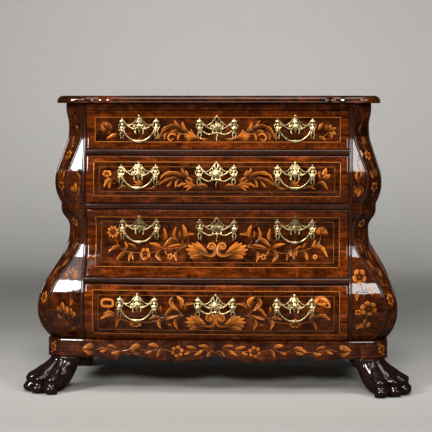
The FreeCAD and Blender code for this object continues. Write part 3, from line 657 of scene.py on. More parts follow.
def drawer_veneer(n):
    """A drawer's veneer: the swelling bow, cross-banded outside its stringing, with the
    keyhole left open, a square for its eye and a slot below."""
    slot_half, eye_half, eye_rise, slot_length = 1.2 * mm, 2.6 * mm, 31 * mm, 9 * mm
    eye = pivot_z(n) + eye_rise
    slot_low, eye_low, eye_high = eye - slot_length, eye - eye_half, eye + eye_half
    u = np.unique(np.concatenate([np.linspace(-drawer_half, drawer_half, 141),
                                  [-eye_half, -slot_half, slot_half, eye_half]]))
    v = np.unique(np.concatenate([np.linspace(drawer_low[n], drawer_high[n], 41),
                                  [slot_low, eye_low, eye_high]]))
    frame_u, (frame_low, frame_high) = stringing_half(n), stringing_levels(n)
    u_gap = np.abs(u)[:, None] - frame_u
    v_gap = np.maximum(frame_low - v, v - frame_high)[None, :]
    border, mitre = banding(*np.broadcast_arrays(u_gap, v_gap))
    cell_u = np.abs(u[:-1] + u[1:])[:, None] / 2
    cell_v = (v[:-1] + v[1:])[None, :] / 2
    slot = (cell_u < slot_half) & (cell_v > slot_low) & (cell_v < eye_high)
    hole = slot | ((cell_u < eye_half) & (cell_v > eye_low) & (cell_v < eye_high))
    patch = wall_patch(front_wall, u, v, sizes().veneer_lift, border=border, mitre=mitre,
                       keep=~hole)
    veneer_sheet(f"drawer_{n}_veneer", [patch], f"drawer_{n}")


def pivot_z(n):
    """The height of a drawer's bail pins."""
    return hinges[f"drawer_{n}_bail_right_hinge"]["pos_m"][2]


# Each drawer's stringing, in millimetres from its ends, its lower and its upper edge.
stringing_in = {1: 23, 2: 22.4, 3: 24.5, 4: 23}
stringing_up = {1: 18.5, 2: 19.5, 3: 26.5, 4: 17}
stringing_down = {1: 17.5, 2: 16.5, 3: 20, 4: 15.5}


def stringing_half(n):
    """Half the width of a drawer's rectangle of stringing."""
    return drawer_half - stringing_in[n] * mm


def stringing_levels(n):
    """The heights of its two level lines."""
    return drawer_low[n] + stringing_up[n] * mm, drawer_high[n] - stringing_down[n] * mm


def case_levels():
    """The heights at which the case's walls have their points."""
    return np.linspace(plinth_top, case_top, 171)


side_inset = 24 * mm  # of the stringing on the sides


def side_frame(v):
    """The side's stringing: its front line follows the canted corner, the others are straight."""
    return corner_y(swell(v)) + side_inset, case_back - side_inset


def case_side_veneer(side):
    """The side, from the canted corner to the back."""
    v = case_levels()
    t = np.linspace(0, 1, 41)[:, None]
    front = corner_y(swell(v) + sizes().veneer_lift)
    u = front + (case_back - back_reveal - front) * t
    line_front, line_back = side_frame(v)
    u_gap = np.maximum(line_front - u, u - line_back)
    v_gap = np.maximum(plinth_top + side_inset - v, v - case_top + side_inset)[None, :]
    border, mitre = banding(*np.broadcast_arrays(u_gap, v_gap))
    return wall_patch(side_wall(side), u, v, sizes().veneer_lift, flip=side < 0,
                      border=border, mitre=mitre)


def ribbon_veneer(side):
    """The canted corner, from arris to arris."""
    v = case_levels()
    swelled = swell(v)
    half = (corner_x(swelled) - arris_x(swelled)) / 2 / diagonal
    u = half * np.linspace(-1, 1, 9)[:, None]
    return wall_patch(ribbon_wall(side), u, v, sizes().veneer_lift, flip=side < 0)


def stile_veneer(side):
    """The stile, from the drawers to the arris."""
    v = case_levels()
    outer = arris_x(swell(v) + sizes().veneer_lift)
    u = opening_half + (outer - opening_half) * np.linspace(0, 1, 13)[:, None]
    return wall_patch(stile_wall(side), u, v, sizes().veneer_lift, flip=side < 0)


# Places on the apron's lower edge, outwards from its middle.
lobe_x = 120 * mm
cusp_x = 254 * mm
step_x = 268 * mm
straight_x = 308 * mm


def hollow(x, start, end, middle):
    """A parabola between two points (x, z) that passes the height middle half way."""
    t = np.clip((x - start[0]) / (end[0] - start[0]), 0, 1)
    bow = middle - (start[1] + end[1]) / 2
    return start[1] + (end[1] - start[1]) * t + bow * 4 * t * (1 - t)


def apron_edge(x):
    """Height of the apron's lower edge: straight by the posts, a little down to a step,
    sharply up to a cusp, then down round a lobe and up to the cusp at the middle."""
    x = np.abs(x)
    cusp = plinth_low + 12 * mm
    lobe = plinth_low - 10 * mm
    step = plinth_low - 6 * mm
    inner = hollow(x, (0, cusp), (lobe_x, lobe), plinth_low - 6 * mm)
    outer = hollow(x, (lobe_x, lobe), (cusp_x, cusp), plinth_low - 1 * mm)
    beyond = np.interp(x, [cusp_x, step_x, straight_x], [cusp, step, plinth_low])
    return np.where(x < lobe_x, inner, np.where(x < cusp_x, outer, beyond))


def apron_veneer():
    """The plinth's bowed front, its lower edge following the lobes."""
    hair = 0.2 * mm
    marks = np.array([0, lobe_x, cusp_x, cusp_x + hair, step_x, step_x + hair, straight_x])
    u = np.unique(np.concatenate([np.linspace(-opening_half, opening_half, 121), marks,
                                  -marks]))
    t = np.linspace(0, 1, 13)[None, :]
    bottom = apron_edge(u)[:, None]
    v = bottom + (plinth_top - bottom) * t
    return Patch(apron_wall(u[:, None], v, sizes().veneer_lift), border=0.0, mitre=0.0)


def block_veneer(side):
    """The plinth block: its turned front, its canted corner and the plinth's side, each a
    straight in plan."""
    lift = sizes().veneer_lift
    plan = np.array([
        (opening_half, bow_y(opening_half, lift)),
        (arris_x(0) + 1.1 * lift, arris_y(lift)),
        (corner_x(lift), corner_y(lift)),
        (corner_x(lift), case_back - back_reveal),
    ])
    t = np.linspace(0, 1, 13)[:, None, None]
    v = np.linspace(plinth_low, plinth_top, 9)[None, :]
    patches = []
    for a, b in zip(plan[:-1], plan[1:]):
        xy = a + (b - a) * t
        points = stacked(side * xy[..., 0], xy[..., 1], v)
        patches.append(Patch(points, flip=side < 0, border=0.0, mitre=0.0))
    return patches


def frieze_veneer():
    """The band between the upper drawer and the top, proud of the rail."""
    proud, above = 1.9 * mm, 0.6 * mm
    u = np.linspace(-opening_half, opening_half, 61)
    v = np.linspace(frieze_low + above, case_top, 7)
    points = apron_wall(u[:, None], v[None, :], frieze_swell + proud)
    return Patch(points, border=0.0, mitre=0.0)


# ---------------------------------------------------------------- mouldings
def rail_nosing(z_low):
    """A rounded edge carried along the bow of a rail: half an ellipse, closed behind."""
    reach, half, sunk, behind = 6.6 * mm, 8.1 * mm, 4.1 * mm, -9.5 * mm
    a = np.linspace(-math.pi / 2, math.pi / 2, 13)
    out = np.concatenate([[behind], reach * np.cos(a) - sunk, [behind]])
    up = np.concatenate([[-half], half * np.sin(a), [half]])
    middle = z_low + rail_height / 2
    u = np.linspace(-opening_half, opening_half, 61)[:, None]
    y = bow_y(u, swell(middle) + out[None, :])
    return closed_run(stacked(u, y, middle + up[None, :]))


def closed_run(points, flip=False):
    """A profile's run with its two ends closed to their middles."""
    ends = [points[i].mean(0, keepdims=True).repeat(points.shape[1], 0) for i in (0, -1)]
    whole = np.concatenate([ends[0][None], points, ends[1][None]])
    return Patch(whole, wrap=True, flip=flip)


def drawer_bead(side):
    """The bead beside the drawers: a half ellipse with a quirk at either foot, carried up
    the swell."""
    rise, quirk, sunk = 2.4 * mm, 0.2 * mm, -1.0 * mm
    width = sizes().bead_width
    a = np.linspace(0, math.pi, 11)
    across = opening_half + width / 2 - width / 2 * np.cos(a)
    out = np.concatenate([[sunk], rise * np.sin(a) + quirk, [sunk]])
    u = np.concatenate([[opening_half], across, [opening_half + width]])
    v = case_levels()[:, None]
    points = stile_wall(side)(u[None, :], v, out[None, :])
    return closed_run(points, flip=side > 0)


def corner_bead(side, edge_x, edge_y, radius):
    """A thin round strip up an edge of the canted corner: a circle at every height, sunk
    in by a share of its radius."""
    sunk = 0.3
    v = case_levels()[:, None]
    a = ring_angles(12)[None, :]
    x = edge_x(swell(v)) + radius * (np.cos(a) - sunk)
    y = edge_y(swell(v)) + radius * (np.sin(a) + sunk)
    return closed_run(on_side(side, stacked(x, y, v)), flip=side > 0)


# ---------------------------------------------------------------- the top
def top_profile():
    """(in, up): a quirk, a square lip and the quarter round of the thumb."""
    lip_in, lip_up = 0.8 * mm, 4.6 * mm
    depth = sizes().thumb_depth
    thickness = board_top - case_top
    a = np.linspace(0, math.pi / 2, 12)
    inwards = lip_in + (depth - lip_in) * (1 - np.cos(a))
    upwards = lip_up + (thickness - lip_up) * np.sin(a)
    below = np.array([(9, 0), (2.6, 0), (1.0, 0.5), (0.1, 1.8), (0.1, 3.4), (0.8, 4.2)]) * mm
    return np.concatenate([below[:, 0], inwards]), np.concatenate([below[:, 1], upwards])


def top_outline(inset):
    """The top in plan, set in by inset: a bow with a small cove by each ear, round ears,
    straight sides and back. One row of points for each inset."""
    overhang, side_overhang, ear = 22.5 * mm, 27 * mm, 60 * mm
    cove_in, cove_radius, cove_depth = 118 * mm, 30 * mm, 8 * mm
    soft = 5 * mm  # how much the cove's corners are rounded
    inset = inset[:, None]
    bow = bow_radius + frieze_swell + overhang
    half = plinth_half + frieze_swell + side_overhang
    ear_x = half - ear
    ear_y = bow_centre - math.sqrt((bow - ear) ** 2 - ear_x**2)
    lean = math.asin(ear_x / (bow - ear))
    cove_x = half - cove_in
    cove_y = bow_y(cove_x, frieze_swell + overhang) - cove_radius + cove_depth
    x = np.linspace(-1, 1, 321)[None, :] * (ear_x + (ear - inset) * math.sin(lean))
    front = bow_centre - np.sqrt((bow - inset) ** 2 - x**2)
    reach = cove_radius + inset
    aside = np.abs(x) - cove_x
    cove = cove_y + np.sqrt(np.maximum(reach**2 - aside**2, 0))
    far_in_front = -9.0
    cove = np.where(np.abs(aside) < reach, cove, far_in_front)
    front = (front + cove + np.sqrt((front - cove) ** 2 + soft**2)) / 2
    front = front - soft**2 / 4 / (np.abs(front - cove) + soft)
    turn = np.linspace(-math.pi / 2 + lean, 0, 25)[None, 1:]
    arc_x = ear_x + (ear - inset) * np.cos(turn)
    arc_y = ear_y + (ear - inset) * np.sin(turn)
    side_y = ear_y + (case_back - ear_y) * np.linspace(0, 1, 21)[None, 1:]
    side_x, side_y = np.broadcast_arrays(half - inset, side_y)
    right_x = np.concatenate([arc_x, side_x], 1)
    right_y = np.concatenate([arc_y, side_y], 1)
    rear_x = (half - inset) * np.linspace(1, -1, 21)[None, 1:-1]
    rear_y = np.full_like(rear_x, case_back)
    all_x = np.concatenate([x, right_x, rear_x, -right_x[:, ::-1]], 1)
    all_y = np.concatenate([front, right_y, rear_y, right_y[:, ::-1]], 1)
    return all_x, all_y


def top_surface():
    """The outline carried through the profile and closed to its middle above and below."""
    inwards, upwards = top_profile()
    x, y = top_outline(inwards)
    z = case_top + np.broadcast_to(upwards[:, None], x.shape)
    rings = stacked(x, y, z)
    backwards, hair = 30 * mm, 0.01 * mm
    middle_y = (case_back + plinth_front) / 2 + backwards
    shrink = np.array([0.94, 0.86, 0.6, 0.3, 0.0])[:, None, None]

    def closing(ring):
        centre = np.array([0, middle_y, ring[0, 2]])
        return centre + (ring[None] - centre) * shrink

    points = np.concatenate([closing(rings[0])[::-1], rings, closing(rings[-1])])
    flat = points[..., 2] > board_top - hair
    edge = top_frame_gap(points[..., 0], points[..., 1])
    border = np.where(flat, edge / mm, 0.0)
    return Patch(points, wrap=True, flip=True, border=border, mitre=0.0)


def top_frame_gap(x, y):
    """How far a point of the top lies outside its rectangle of stringing."""
    side_band, front_band, back_band = 60 * mm, 75 * mm, 40 * mm
    across = np.abs(x) - (plinth_half - side_band)
    along = np.maximum(plinth_front + front_band - y, y - case_back + back_band)
    return np.maximum(across, along)


# ---------------------------------------------------------------- inlay
class Ground:
    """A wall to be inlaid, with the patches that are laid on it. Places are in millimetres.
    mirror -1 turns every motif over, hand -1 is for a wall that is turned over itself, and
    dim darkens what is laid, a painted shade."""

    def __init__(self, wall, mirror=1, hand=1, dim=0.0):
        self.wall = wall
        self.mirror = mirror
        self.hand = mirror * hand
        self.dim = dim
        self.patches = []

    def lay(self, u, v, tone, layer=0, wrap=False):
        """Adds a grid of inlay, a hair above the pieces that it crosses; no two neighbours
        are cut from the same sheet, so their tones differ."""
        layer_rise, hair, sheets_differ = 0.05 * mm, 0.008 * mm, 0.26
        count = len(self.patches)
        lift = sizes().inlay_lift + layer * layer_rise + count % 5 * hair
        points = self.wall(self.mirror * u * mm, v * mm, lift)
        sheet = sheets_differ * (count * 7 % 11 / 10 - 0.5) if layer else 0.0
        # less the ground's dim: painted shade
        tone = np.broadcast_to(tone, points.shape[:2]) + sheet - self.dim
        self.patches.append(Patch(points, wrap=wrap, flip=self.hand < 0, tone=tone))


def strip(ground, path, half, tone, layer=0, across=5):
    """A band along a path: each point is moved sideways by s times the half width there,
    s from -1 to 1."""
    step = np.gradient(path, axis=0)
    step /= np.linalg.norm(step, axis=1, keepdims=True)
    aside = np.stack([-step[:, 1], step[:, 0]], -1)
    s = np.linspace(-1, 1, across)
    half = np.broadcast_to(half, len(path))
    place = path[:, None] + aside[:, None] * (half[:, None] * s)[..., None]
    t = np.linspace(0, 1, len(path))[:, None]
    ground.lay(place[..., 0], place[..., 1], tone(t, s[None, :]), layer)


def leaf(ground, width, *knots, lobes=0, pale=0.6, layer=2):
    """A blade from base to tip: half width = width / 2 sin(pi t)^0.7, nicked where it is
    lobed; scorched at the base and along the vein, one half paler than the other."""
    thinnest = 0.12
    count = 21 + 10 * lobes
    t = np.linspace(0, 1, count)
    half = width / 2 * np.sin(math.pi * t) ** 0.7
    if lobes:
        half = half * (0.6 + 0.4 * np.abs(np.sin(lobes * math.pi * t)))

    def tone(t, s):
        scorch = 0.6 * np.exp(-t / 0.2) + 0.42 * np.exp(-((s / 0.2) ** 2)) * (1 - t)
        return pale + 0.24 * (t - 0.5) + 0.16 * s - scorch

    strip(ground, through(knots, count), np.maximum(half, thinnest), tone, layer, across=7)


def lobed(ground, width, *knots):
    """A leaf with nicked edges."""
    leaf(ground, width, *knots, lobes=4)


def stem(ground, *knots):
    """A thin band, darker than the leaves that it carries."""
    width, pale = 1.7, 0.5
    path = through(knots, 12 * len(knots))
    strip(ground, path, width / 2, lambda t, s: pale + 0 * t - 0.1 * s, layer=0, across=3)


def flower(ground, centre, radius, petals=6, squash=1.0, turn=0.0, depth=0.3, pale=0.66):
    """A flower seen from above: its rim is r = radius (1 - depth + depth |sin(petals a / 2)|),
    and q runs from its middle to the rim. It has a dark ring about its eye and dark lines
    between the petals."""
    eye = 0.3
    q = np.linspace(0.02, 1, 11)[:, None]
    a = ring_angles(12 * petals)[None, :]
    ridge = np.abs(np.sin(petals * a / 2))
    r = radius * q * (1 - depth * q * (1 - ridge))
    u = centre[0] + r * np.cos(a + turn)
    v = centre[1] + squash * r * np.sin(a + turn)
    between = 0.5 * np.exp(-((ridge / 0.34) ** 2)) * (q > eye)
    ring = 0.5 * np.exp(-(((q - eye) / 0.13) ** 2))
    shade_side = 0.1 * np.sin(a - 0.9) * q
    ground.lay(u, v, pale - 0.16 + 0.34 * q + shade_side - ring - between, layer=4, wrap=True)


def fan(ground, base, tip, opening, count, width, closed=0.0):
    """Blades from one base, turned by up to the opening either way, the outer ones shorter.
    closed bends their tips back together, as a tulip's."""
    base = np.array(base, float)
    reach = np.array(tip, float) - base

    def turned(angle, length):
        c, s = math.cos(angle), math.sin(angle)
        return base + length * np.array([c * reach[0] - s * reach[1],
                                         s * reach[0] + c * reach[1]])

    outer_first = sorted(np.linspace(-1, 1, count), key=abs, reverse=True)
    for share in outer_first:
        angle = math.radians(opening) * share
        length = 1 - 0.25 * abs(share)
        middle = turned(angle * (0.7 + closed), 0.55 * length)
        end = turned(angle * (1 - 0.5 * closed), length)
        leaf(ground, width, base, middle, end, pale=0.6 - 0.06 * abs(share), layer=3)


def curl(ground, width, *knots):
    """A volute: a band that narrows along its way and ends in a round eye."""
    path = through(knots, 10 * len(knots))
    t = np.linspace(0, 1, len(path))
    strip(ground, path, width * (0.24 + 0.26 * np.sin(math.pi * t**0.8)),
          lambda t, s: 0.7 + 0.3 * s - 0.1 * t - 0.3 * np.exp(-t / 0.1), layer=4)
    flower(ground, knots[-1], width * 0.42, petals=6, depth=0.05, pale=0.8)


def loop(ground, width, *knots):
    """A bent band of even width, as the rim of a cup."""
    strip(ground, through(knots, 12 * len(knots)), width / 2,
          lambda t, s: 0.72 - 0.2 * s + 0 * t, layer=4)


def string_line(ground, a, b, width, pale=0.6):
    """A straight line of stringing, its points near enough to follow a curved wall."""
    longest = 6
    count = 2 + int(math.dist(a, b) / longest)
    path = np.linspace(a, b, count)
    strip(ground, path, width / 2, lambda t, s: pale + 0 * t + 0 * s, layer=0, across=2)


def string_frame(ground, half, foot, head, width, pale=0.6):
    """Four lines about a field."""
    corners = [(-half, foot), (half, foot), (half, head), (-half, head), (-half, foot)]
    for a, b in zip(corners[:-1], corners[1:]):
        string_line(ground, a, b, width, pale)


# Sprays: what is laid and where, chosen motif by motif. Each row is a maker and what it takes
# after the ground; places are (u, v) in millimetres, as the wall's function measures them. Drawer
# and apron sprays are for the right half, and the left half takes them turned over. "both" is laid
# on either side, and -1 or 1 only on the left or the right.
sprays = {
    (1, "both"): [
        (fan, (40, 682), (92, 697), 20, 7, 6.5, -0.3),
        (leaf, 7, (18, 684), (34, 682), (54, 688)),
        (leaf, 7, (52, 690), (66, 697), (71, 711)),
        (leaf, 10, (78, 702), (90, 713), (94, 731)),
        (leaf, 8, (97, 711), (108, 720), (116, 735)),
        (lobed, 11, (80, 696), (102, 711), (121, 719), (140, 712), (152, 697), (159, 682)),
        (leaf, 7, (90, 696), (102, 694), (106, 680)),
        (leaf, 6, (104, 702), (114, 706), (126, 703)),
        (curl, 5, (110, 692), (119, 697), (128, 695), (132, 687), (127, 680), (120, 683)),
        (leaf, 7, (132, 697), (140, 692), (142, 681)),
        (stem, (60, 684), (84, 695), (106, 700), (134, 701), (150, 690)),
    ],
    (1, -1): [
        (fan, (296, 706), (310, 730), 42, 5, 10, 0.6),
        (leaf, 12, (296, 708), (304, 712), (316, 708)),
        (stem, (297, 708), (290, 697), (276, 689)),
        (leaf, 8, (268, 693), (282, 694), (300, 683)),
        (leaf, 6, (160, 686), (168, 694), (170, 706)),
    ],
    (1, 1): [
        (fan, (296, 702), (321, 714), 76, 5, 10, 0.1),
        (stem, (300, 704), (290, 692), (272, 686)),
        (leaf, 7, (268, 684), (280, 688), (293, 681)),
        (leaf, 7, (275, 706), (276, 716), (284, 727)),
    ],
    (2, "both"): [
        (lobed, 9, (10, 551), (44, 553), (72, 560), (99, 563)),
        (fan, (44, 554), (94, 567), 24, 5, 6, -0.3),
        (leaf, 6, (20, 554), (34, 562), (52, 562)),
        (leaf, 7, (60, 568), (70, 577), (84, 583)),
        (leaf, 9, (77, 580), (88, 591), (94, 607)),
        (leaf, 6, (80, 580), (78, 590), (84, 600)),
        (lobed, 10, (64, 571), (92, 586), (118, 594), (140, 589), (151, 577)),
        (lobed, 8, (84, 569), (112, 579), (138, 573), (157, 560)),
        (leaf, 7, (98, 578), (107, 568), (110, 554)),
        (leaf, 7, (114, 575), (124, 564), (134, 555)),
        (leaf, 6, (90, 572), (94, 563), (106, 556)),
        (stem, (150, 578), (158, 564), (172, 553), (190, 552)),
        (leaf, 7, (158, 560), (168, 553), (182, 551)),
        (fan, (196, 558), (226, 566), 34, 4, 6, 0.2),
        (stem, (224, 552), (244, 556), (262, 563)),
        (leaf, 7, (236, 552), (250, 556), (266, 550)),
    ],
    (2, -1): [
        (flower, (296, 591), 13, 5, 0.68, 0.4, 0.12),
        (stem, (294, 582), (288, 572), (272, 562)),
        (lobed, 10, (278, 573), (294, 573), (304, 555)),
        (leaf, 8, (280, 570), (288, 562), (289, 550)),
        (leaf, 7, (272, 568), (264, 576), (266, 588)),
    ],
    (2, 1): [
        (fan, (284, 574), (294, 607), 42, 3, 13, 0.15),
        (stem, (285, 576), (280, 568), (266, 560)),
        (leaf, 10, (266, 561), (284, 567), (298, 550)),
    ],
    (3, "both"): [
        (curl, 11, (44, 377), (18, 370), (6, 376), (5, 388), (10, 398), (18, 399),
         (21, 392), (15.5, 388), (13, 391)),
        (fan, (20, 368), (86, 393), 27, 6, 14, 0.1),
        (fan, (34, 371), (60, 397), 24, 4, 9.5, 0.1),
        (leaf, 7, (24, 366), (48, 364), (72, 369)),
        (lobed, 10, (94, 411), (84, 426), (60, 427)),
        (leaf, 10, (93, 413), (87, 434), (94, 453)),
        (lobed, 9, (106, 403), (118, 424), (111, 447)),
        (leaf, 6, (96, 412), (102, 424), (100, 436)),
        (stem, (82, 396), (92, 404), (94, 414)),
        (stem, (84, 396), (98, 398), (108, 404)),
        (leaf, 12, (102, 400), (122, 411), (144, 395)),
        (leaf, 6, (86, 395), (108, 397), (134, 391)),
        (leaf, 9, (101, 383), (112, 371), (107, 354)),
        (stem, (82, 393), (94, 390), (102, 382)),
        (flower, (126, 367), 8, 5),
        (leaf, 10, (146, 386), (161, 370), (150, 354)),
        (leaf, 9, (148, 385), (164, 397), (184, 401)),
        (leaf, 9, (150, 408), (140, 420), (144, 443)),
        (leaf, 6, (132, 388), (138, 380), (136, 372)),
        (stem, (84, 394), (120, 388), (146, 386), (172, 377), (194, 376)),
    ],
    (3, -1): [
        (flower, (283, 431), 17, 9, 1.0, 0.2, 0.34),
        (flower, (283, 431), 9, 6, 1.0, 0.5, 0.3, 0.8),
        (stem, (277, 414), (268, 396), (250, 380), (208, 375)),
        (lobed, 10, (258, 387), (276, 391), (296, 376)),
        (leaf, 11, (240, 375), (256, 372), (273, 355)),
        (leaf, 7, (222, 376), (234, 370), (238, 352)),
        (leaf, 7, (218, 380), (226, 394), (243, 400)),
        (leaf, 6, (250, 382), (246, 394), (251, 406)),
        (leaf, 5, (232, 376), (228, 366), (226, 356)),
        (flower, (194, 373), 14, 5, 1.2, 0.3, 0.2),
    ],
    (3, 1): [
        (fan, (281, 423), (284, 449), 62, 7, 11, 0.05),
        (stem, (281, 424), (272, 399), (242, 386), (208, 378)),
        (leaf, 8, (254, 391), (262, 398), (265, 412)),
        (leaf, 7, (233, 386), (234, 394), (240, 404)),
        (lobed, 11, (254, 389), (280, 393), (299, 366)),
        (leaf, 8, (230, 383), (240, 374), (245, 358)),
        (flower, (265, 367), 6, 6, 1.0, 0.0, 0.05, 0.95),
        (fan, (204, 391), (208, 360), 26, 3, 9, 0.6),
        (leaf, 6, (212, 380), (218, 390), (228, 396)),
        (leaf, 6, (186, 378), (190, 368), (188, 358)),
    ],
    (4, "both"): [
        (curl, 11, (40, 188), (14, 186), (5, 195), (5.4, 208), (11, 216), (20, 212),
         (21, 204), (14.5, 201), (12.5, 206)),
        (fan, (20, 180), (84, 204), 27, 6, 14, 0.1),
        (fan, (34, 184), (60, 210), 24, 4, 9.5, 0.1),
        (leaf, 7, (24, 178), (46, 175), (70, 180)),
        (lobed, 10, (88, 223), (80, 243), (56, 247)),
        (leaf, 11, (98, 230), (90, 252), (104, 265)),
        (leaf, 12, (111, 265), (119, 248), (101, 228)),
        (leaf, 9, (96, 221), (118, 231), (137, 212)),
        (leaf, 6, (86, 218), (110, 210), (132, 203)),
        (leaf, 9, (98, 208), (108, 194), (101, 175)),
        (leaf, 6, (115, 182), (122, 187), (128, 191)),
        (leaf, 10, (133, 211), (152, 196), (147, 176)),
        (leaf, 9, (143, 203), (160, 209), (178, 204)),
        (leaf, 7, (140, 216), (148, 228), (146, 240)),
        (stem, (86, 216), (124, 211), (146, 202), (170, 196), (196, 194)),
        (stem, (84, 214), (92, 212), (99, 206)),
        (stem, (86, 216), (94, 222), (99, 230)),
    ],
    (4, -1): [
        (loop, 6.5, (277, 252), (277, 239), (290, 237), (304, 239), (304, 252), (290, 254),
         (277, 252)),
        (stem, (290, 236), (288, 226), (284, 212)),
        (lobed, 11, (256, 206), (284, 214), (311, 202)),
        (leaf, 7, (264, 210), (284, 221), (302, 216)),
        (leaf, 9, (250, 199), (262, 196), (268, 179)),
        (stem, (270, 208), (236, 197), (196, 196)),
        (flower, (215, 188), 17, 8, 0.45, 0.2),
        (leaf, 7, (232, 198), (240, 206), (252, 214)),
    ],
    (4, 1): [
        (leaf, 26, (259, 255), (284, 254), (307, 236)),
        (flower, (281, 253), 19, 3, 0.5, -0.3, 0.12, 0.85),
        (flower, (298, 243), 4.6, 4, 0.9, 0.0, 0.1, 0.1),
        (stem, (229, 195), (246, 197), (262, 204)),
        (leaf, 9, (250, 198), (263, 192), (269, 176)),
        (leaf, 8, (254, 202), (256, 212), (263, 222)),
        (lobed, 10, (260, 204), (286, 216), (307, 203)),
        (flower, (213, 194), 16, 7, 0.85, 0.2),
        (flower, (213, 194), 7, 5, 0.85, 0.2, 0.2, 0.4),
    ],
    ("stile", -1): [
        (leaf, 9, (381, 566), (374, 580), (380, 596)),
        (fan, (384, 534), (382, 566), 30, 3, 9, 0.5),
        (stem, (384, 536), (384, 528), (380, 520)),
        (leaf, 6, (384, 530), (377, 534), (373, 543)),
        (fan, (392, 300), (391, 336), 46, 5, 12, 0.1),
        (stem, (392, 303), (397, 285), (391, 262)),
        (leaf, 8, (394, 262), (388, 250), (392, 236)),
        (fan, (414, 216), (414, 246), 48, 3, 12, 0.5),
        (fan, (392, 206), (391, 230), 44, 3, 11, 0.5),
        (stem, (412, 218), (408, 196), (400, 182)),
        (stem, (392, 208), (399, 196), (400, 180)),
        (leaf, 8, (408, 194), (420, 202), (426, 214)),
        (leaf, 12, (404, 180), (392, 172), (378, 178)),
    ],
    ("stile", 1): [
        (stem, (384, 650), (378, 620), (386, 590), (380, 562)),
        (leaf, 9, (381, 626), (388, 640), (384, 655)),
        (leaf, 11, (382, 572), (392, 590), (386, 612)),
        (leaf, 8, (384, 570), (375, 584), (378, 600)),
        (fan, (381, 560), (380, 530), 30, 3, 12, 0.6),
        (flower, (384, 316), 19, 5, 1.1, 0.3, 0.22),
        (stem, (386, 300), (392, 280), (396, 258)),
        (leaf, 11, (390, 276), (378, 272), (376, 254)),
        (leaf, 11, (394, 276), (408, 280), (420, 268)),
        (flower, (408, 234), 23, 6, 0.86, 0.2, 0.22),
        (flower, (380, 224), 8, 4),
        (stem, (404, 216), (402, 196), (396, 178)),
        (fan, (402, 178), (398, 206), 40, 3, 11, 0.4),
        (leaf, 10, (396, 182), (384, 186), (376, 178)),
    ],
    ("ribbon", "both"): [
        (leaf, 9, (2, 690), (-5, 705), (0, 722)),
        (leaf, 8, (0, 660), (7, 674), (4, 690)),
        (stem, (1, 690), (-2, 668), (0, 650)),
        (flower, (0, 640), 11, 6, 1.15),
        (stem, (0, 630), (5, 612), (2, 596), (-3, 576)),
        (leaf, 10, (3, 610), (10, 600), (6, 584)),
        (leaf, 10, (1, 602), (-9, 594), (-8, 578)),
        (flower, (0, 556), 12, 5, 1.1, 0.3),
        (leaf, 7, (2, 548), (-3, 540), (2, 528)),
        (flower, (0, 456), 11, 6, 1.0, 0.2),
        (stem, (0, 446), (-4, 420), (3, 390), (-3, 360), (2, 330), (0, 300)),
        (leaf, 8, (-2, 430), (8, 424), (9, 408)),
        (leaf, 9, (0, 404), (-11, 398), (-9, 380)),
        (leaf, 9, (1, 384), (10, 376), (8, 358)),
        (leaf, 9, (-2, 362), (-10, 352), (-6, 336)),
        (leaf, 9, (0, 340), (10, 330), (7, 314)),
        (leaf, 9, (1, 316), (-8, 306), (-7, 290)),
        (flower, (0, 256), 12, 6, 1.35, 0.2),
        (stem, (0, 242), (3, 222), (-1, 200)),
        (leaf, 8, (1, 224), (8, 216), (6, 202)),
        (leaf, 8, (0, 206), (-7, 196), (-3, 182)),
        (leaf, 6, (0, 198), (5, 190), (3, 178)),
    ],
    ("apron", "both"): [
        (flower, (104, 114), 17, 6, 0.95, 0.2, 0.3),
        (stem, (0, 112), (28, 120), (56, 114), (90, 116)),
        (leaf, 9, (16, 117), (28, 128), (48, 130)),
        (leaf, 8, (30, 119), (42, 112), (58, 104)),
        (leaf, 9, (50, 115), (62, 124), (80, 128)),
        (leaf, 7, (8, 113), (18, 108), (24, 100)),
        (leaf, 7, (66, 115), (74, 110), (86, 106)),
        (stem, (120, 114), (150, 120), (180, 113), (204, 119)),
        (leaf, 9, (140, 118), (152, 112), (158, 99)),
        (leaf, 10, (152, 118), (166, 130), (182, 131)),
        (leaf, 7, (168, 116), (178, 110), (190, 108)),
        (stem, (232, 118), (262, 112), (300, 120), (326, 116)),
        (leaf, 9, (256, 113), (268, 107), (284, 108)),
        (leaf, 8, (266, 113), (280, 125), (294, 128)),
        (leaf, 7, (292, 118), (304, 112), (314, 110)),
        (fan, (330, 116), (364, 118), 34, 5, 11, 0.7),
    ],
    ("apron", -1): [
        (fan, (206, 118), (234, 120), 40, 5, 11, 0.7),
    ],
    ("apron", 1): [
        (lobed, 12, (206, 118), (222, 124), (244, 112)),
        (leaf, 8, (206, 118), (220, 110), (236, 108)),
    ],
    ("block", "both"): [
        (flower, (0, 119), 12, 6, 1.1, 0.2, 0.34),
        (leaf, 6, (2, 108), (8, 104), (12, 106)),
        (leaf, 6, (-2, 130), (-8, 134), (-12, 132)),
    ],
    ("side", "both"): [
        (fan, (20, 300), (20, 332), 50, 7, 12, 0.3),
        (fan, (-70, 330), (-88, 356), 44, 5, 12, 0.3),
        (fan, (112, 326), (132, 352), 44, 5, 12, 0.3),
        (flower, (-34, 400), 26, 8, 1.0, 0.1, 0.3),
        (flower, (78, 408), 24, 6, 1.0, 0.3, 0.24),
        (flower, (20, 478), 28, 7, 1.0, 0.1, 0.32),
        (flower, (-86, 470), 16, 5, 1.0, 0.3),
        (flower, (128, 478), 16, 5, 1.0, 0.3),
        (fan, (-46, 540), (-62, 574), 38, 5, 13, 0.6),
        (fan, (88, 540), (102, 574), 38, 5, 13, 0.6),
        (fan, (20, 590), (20, 636), 34, 5, 15, 0.6),
        (stem, (20, 220), (19, 330), (21, 450), (20, 600)),
        (stem, (20, 230), (-4, 320), (-34, 400), (-60, 440), (-84, 466)),
        (stem, (20, 230), (48, 320), (78, 408), (106, 446), (126, 474)),
        (stem, (20, 350), (-20, 440), (-30, 500), (-46, 546)),
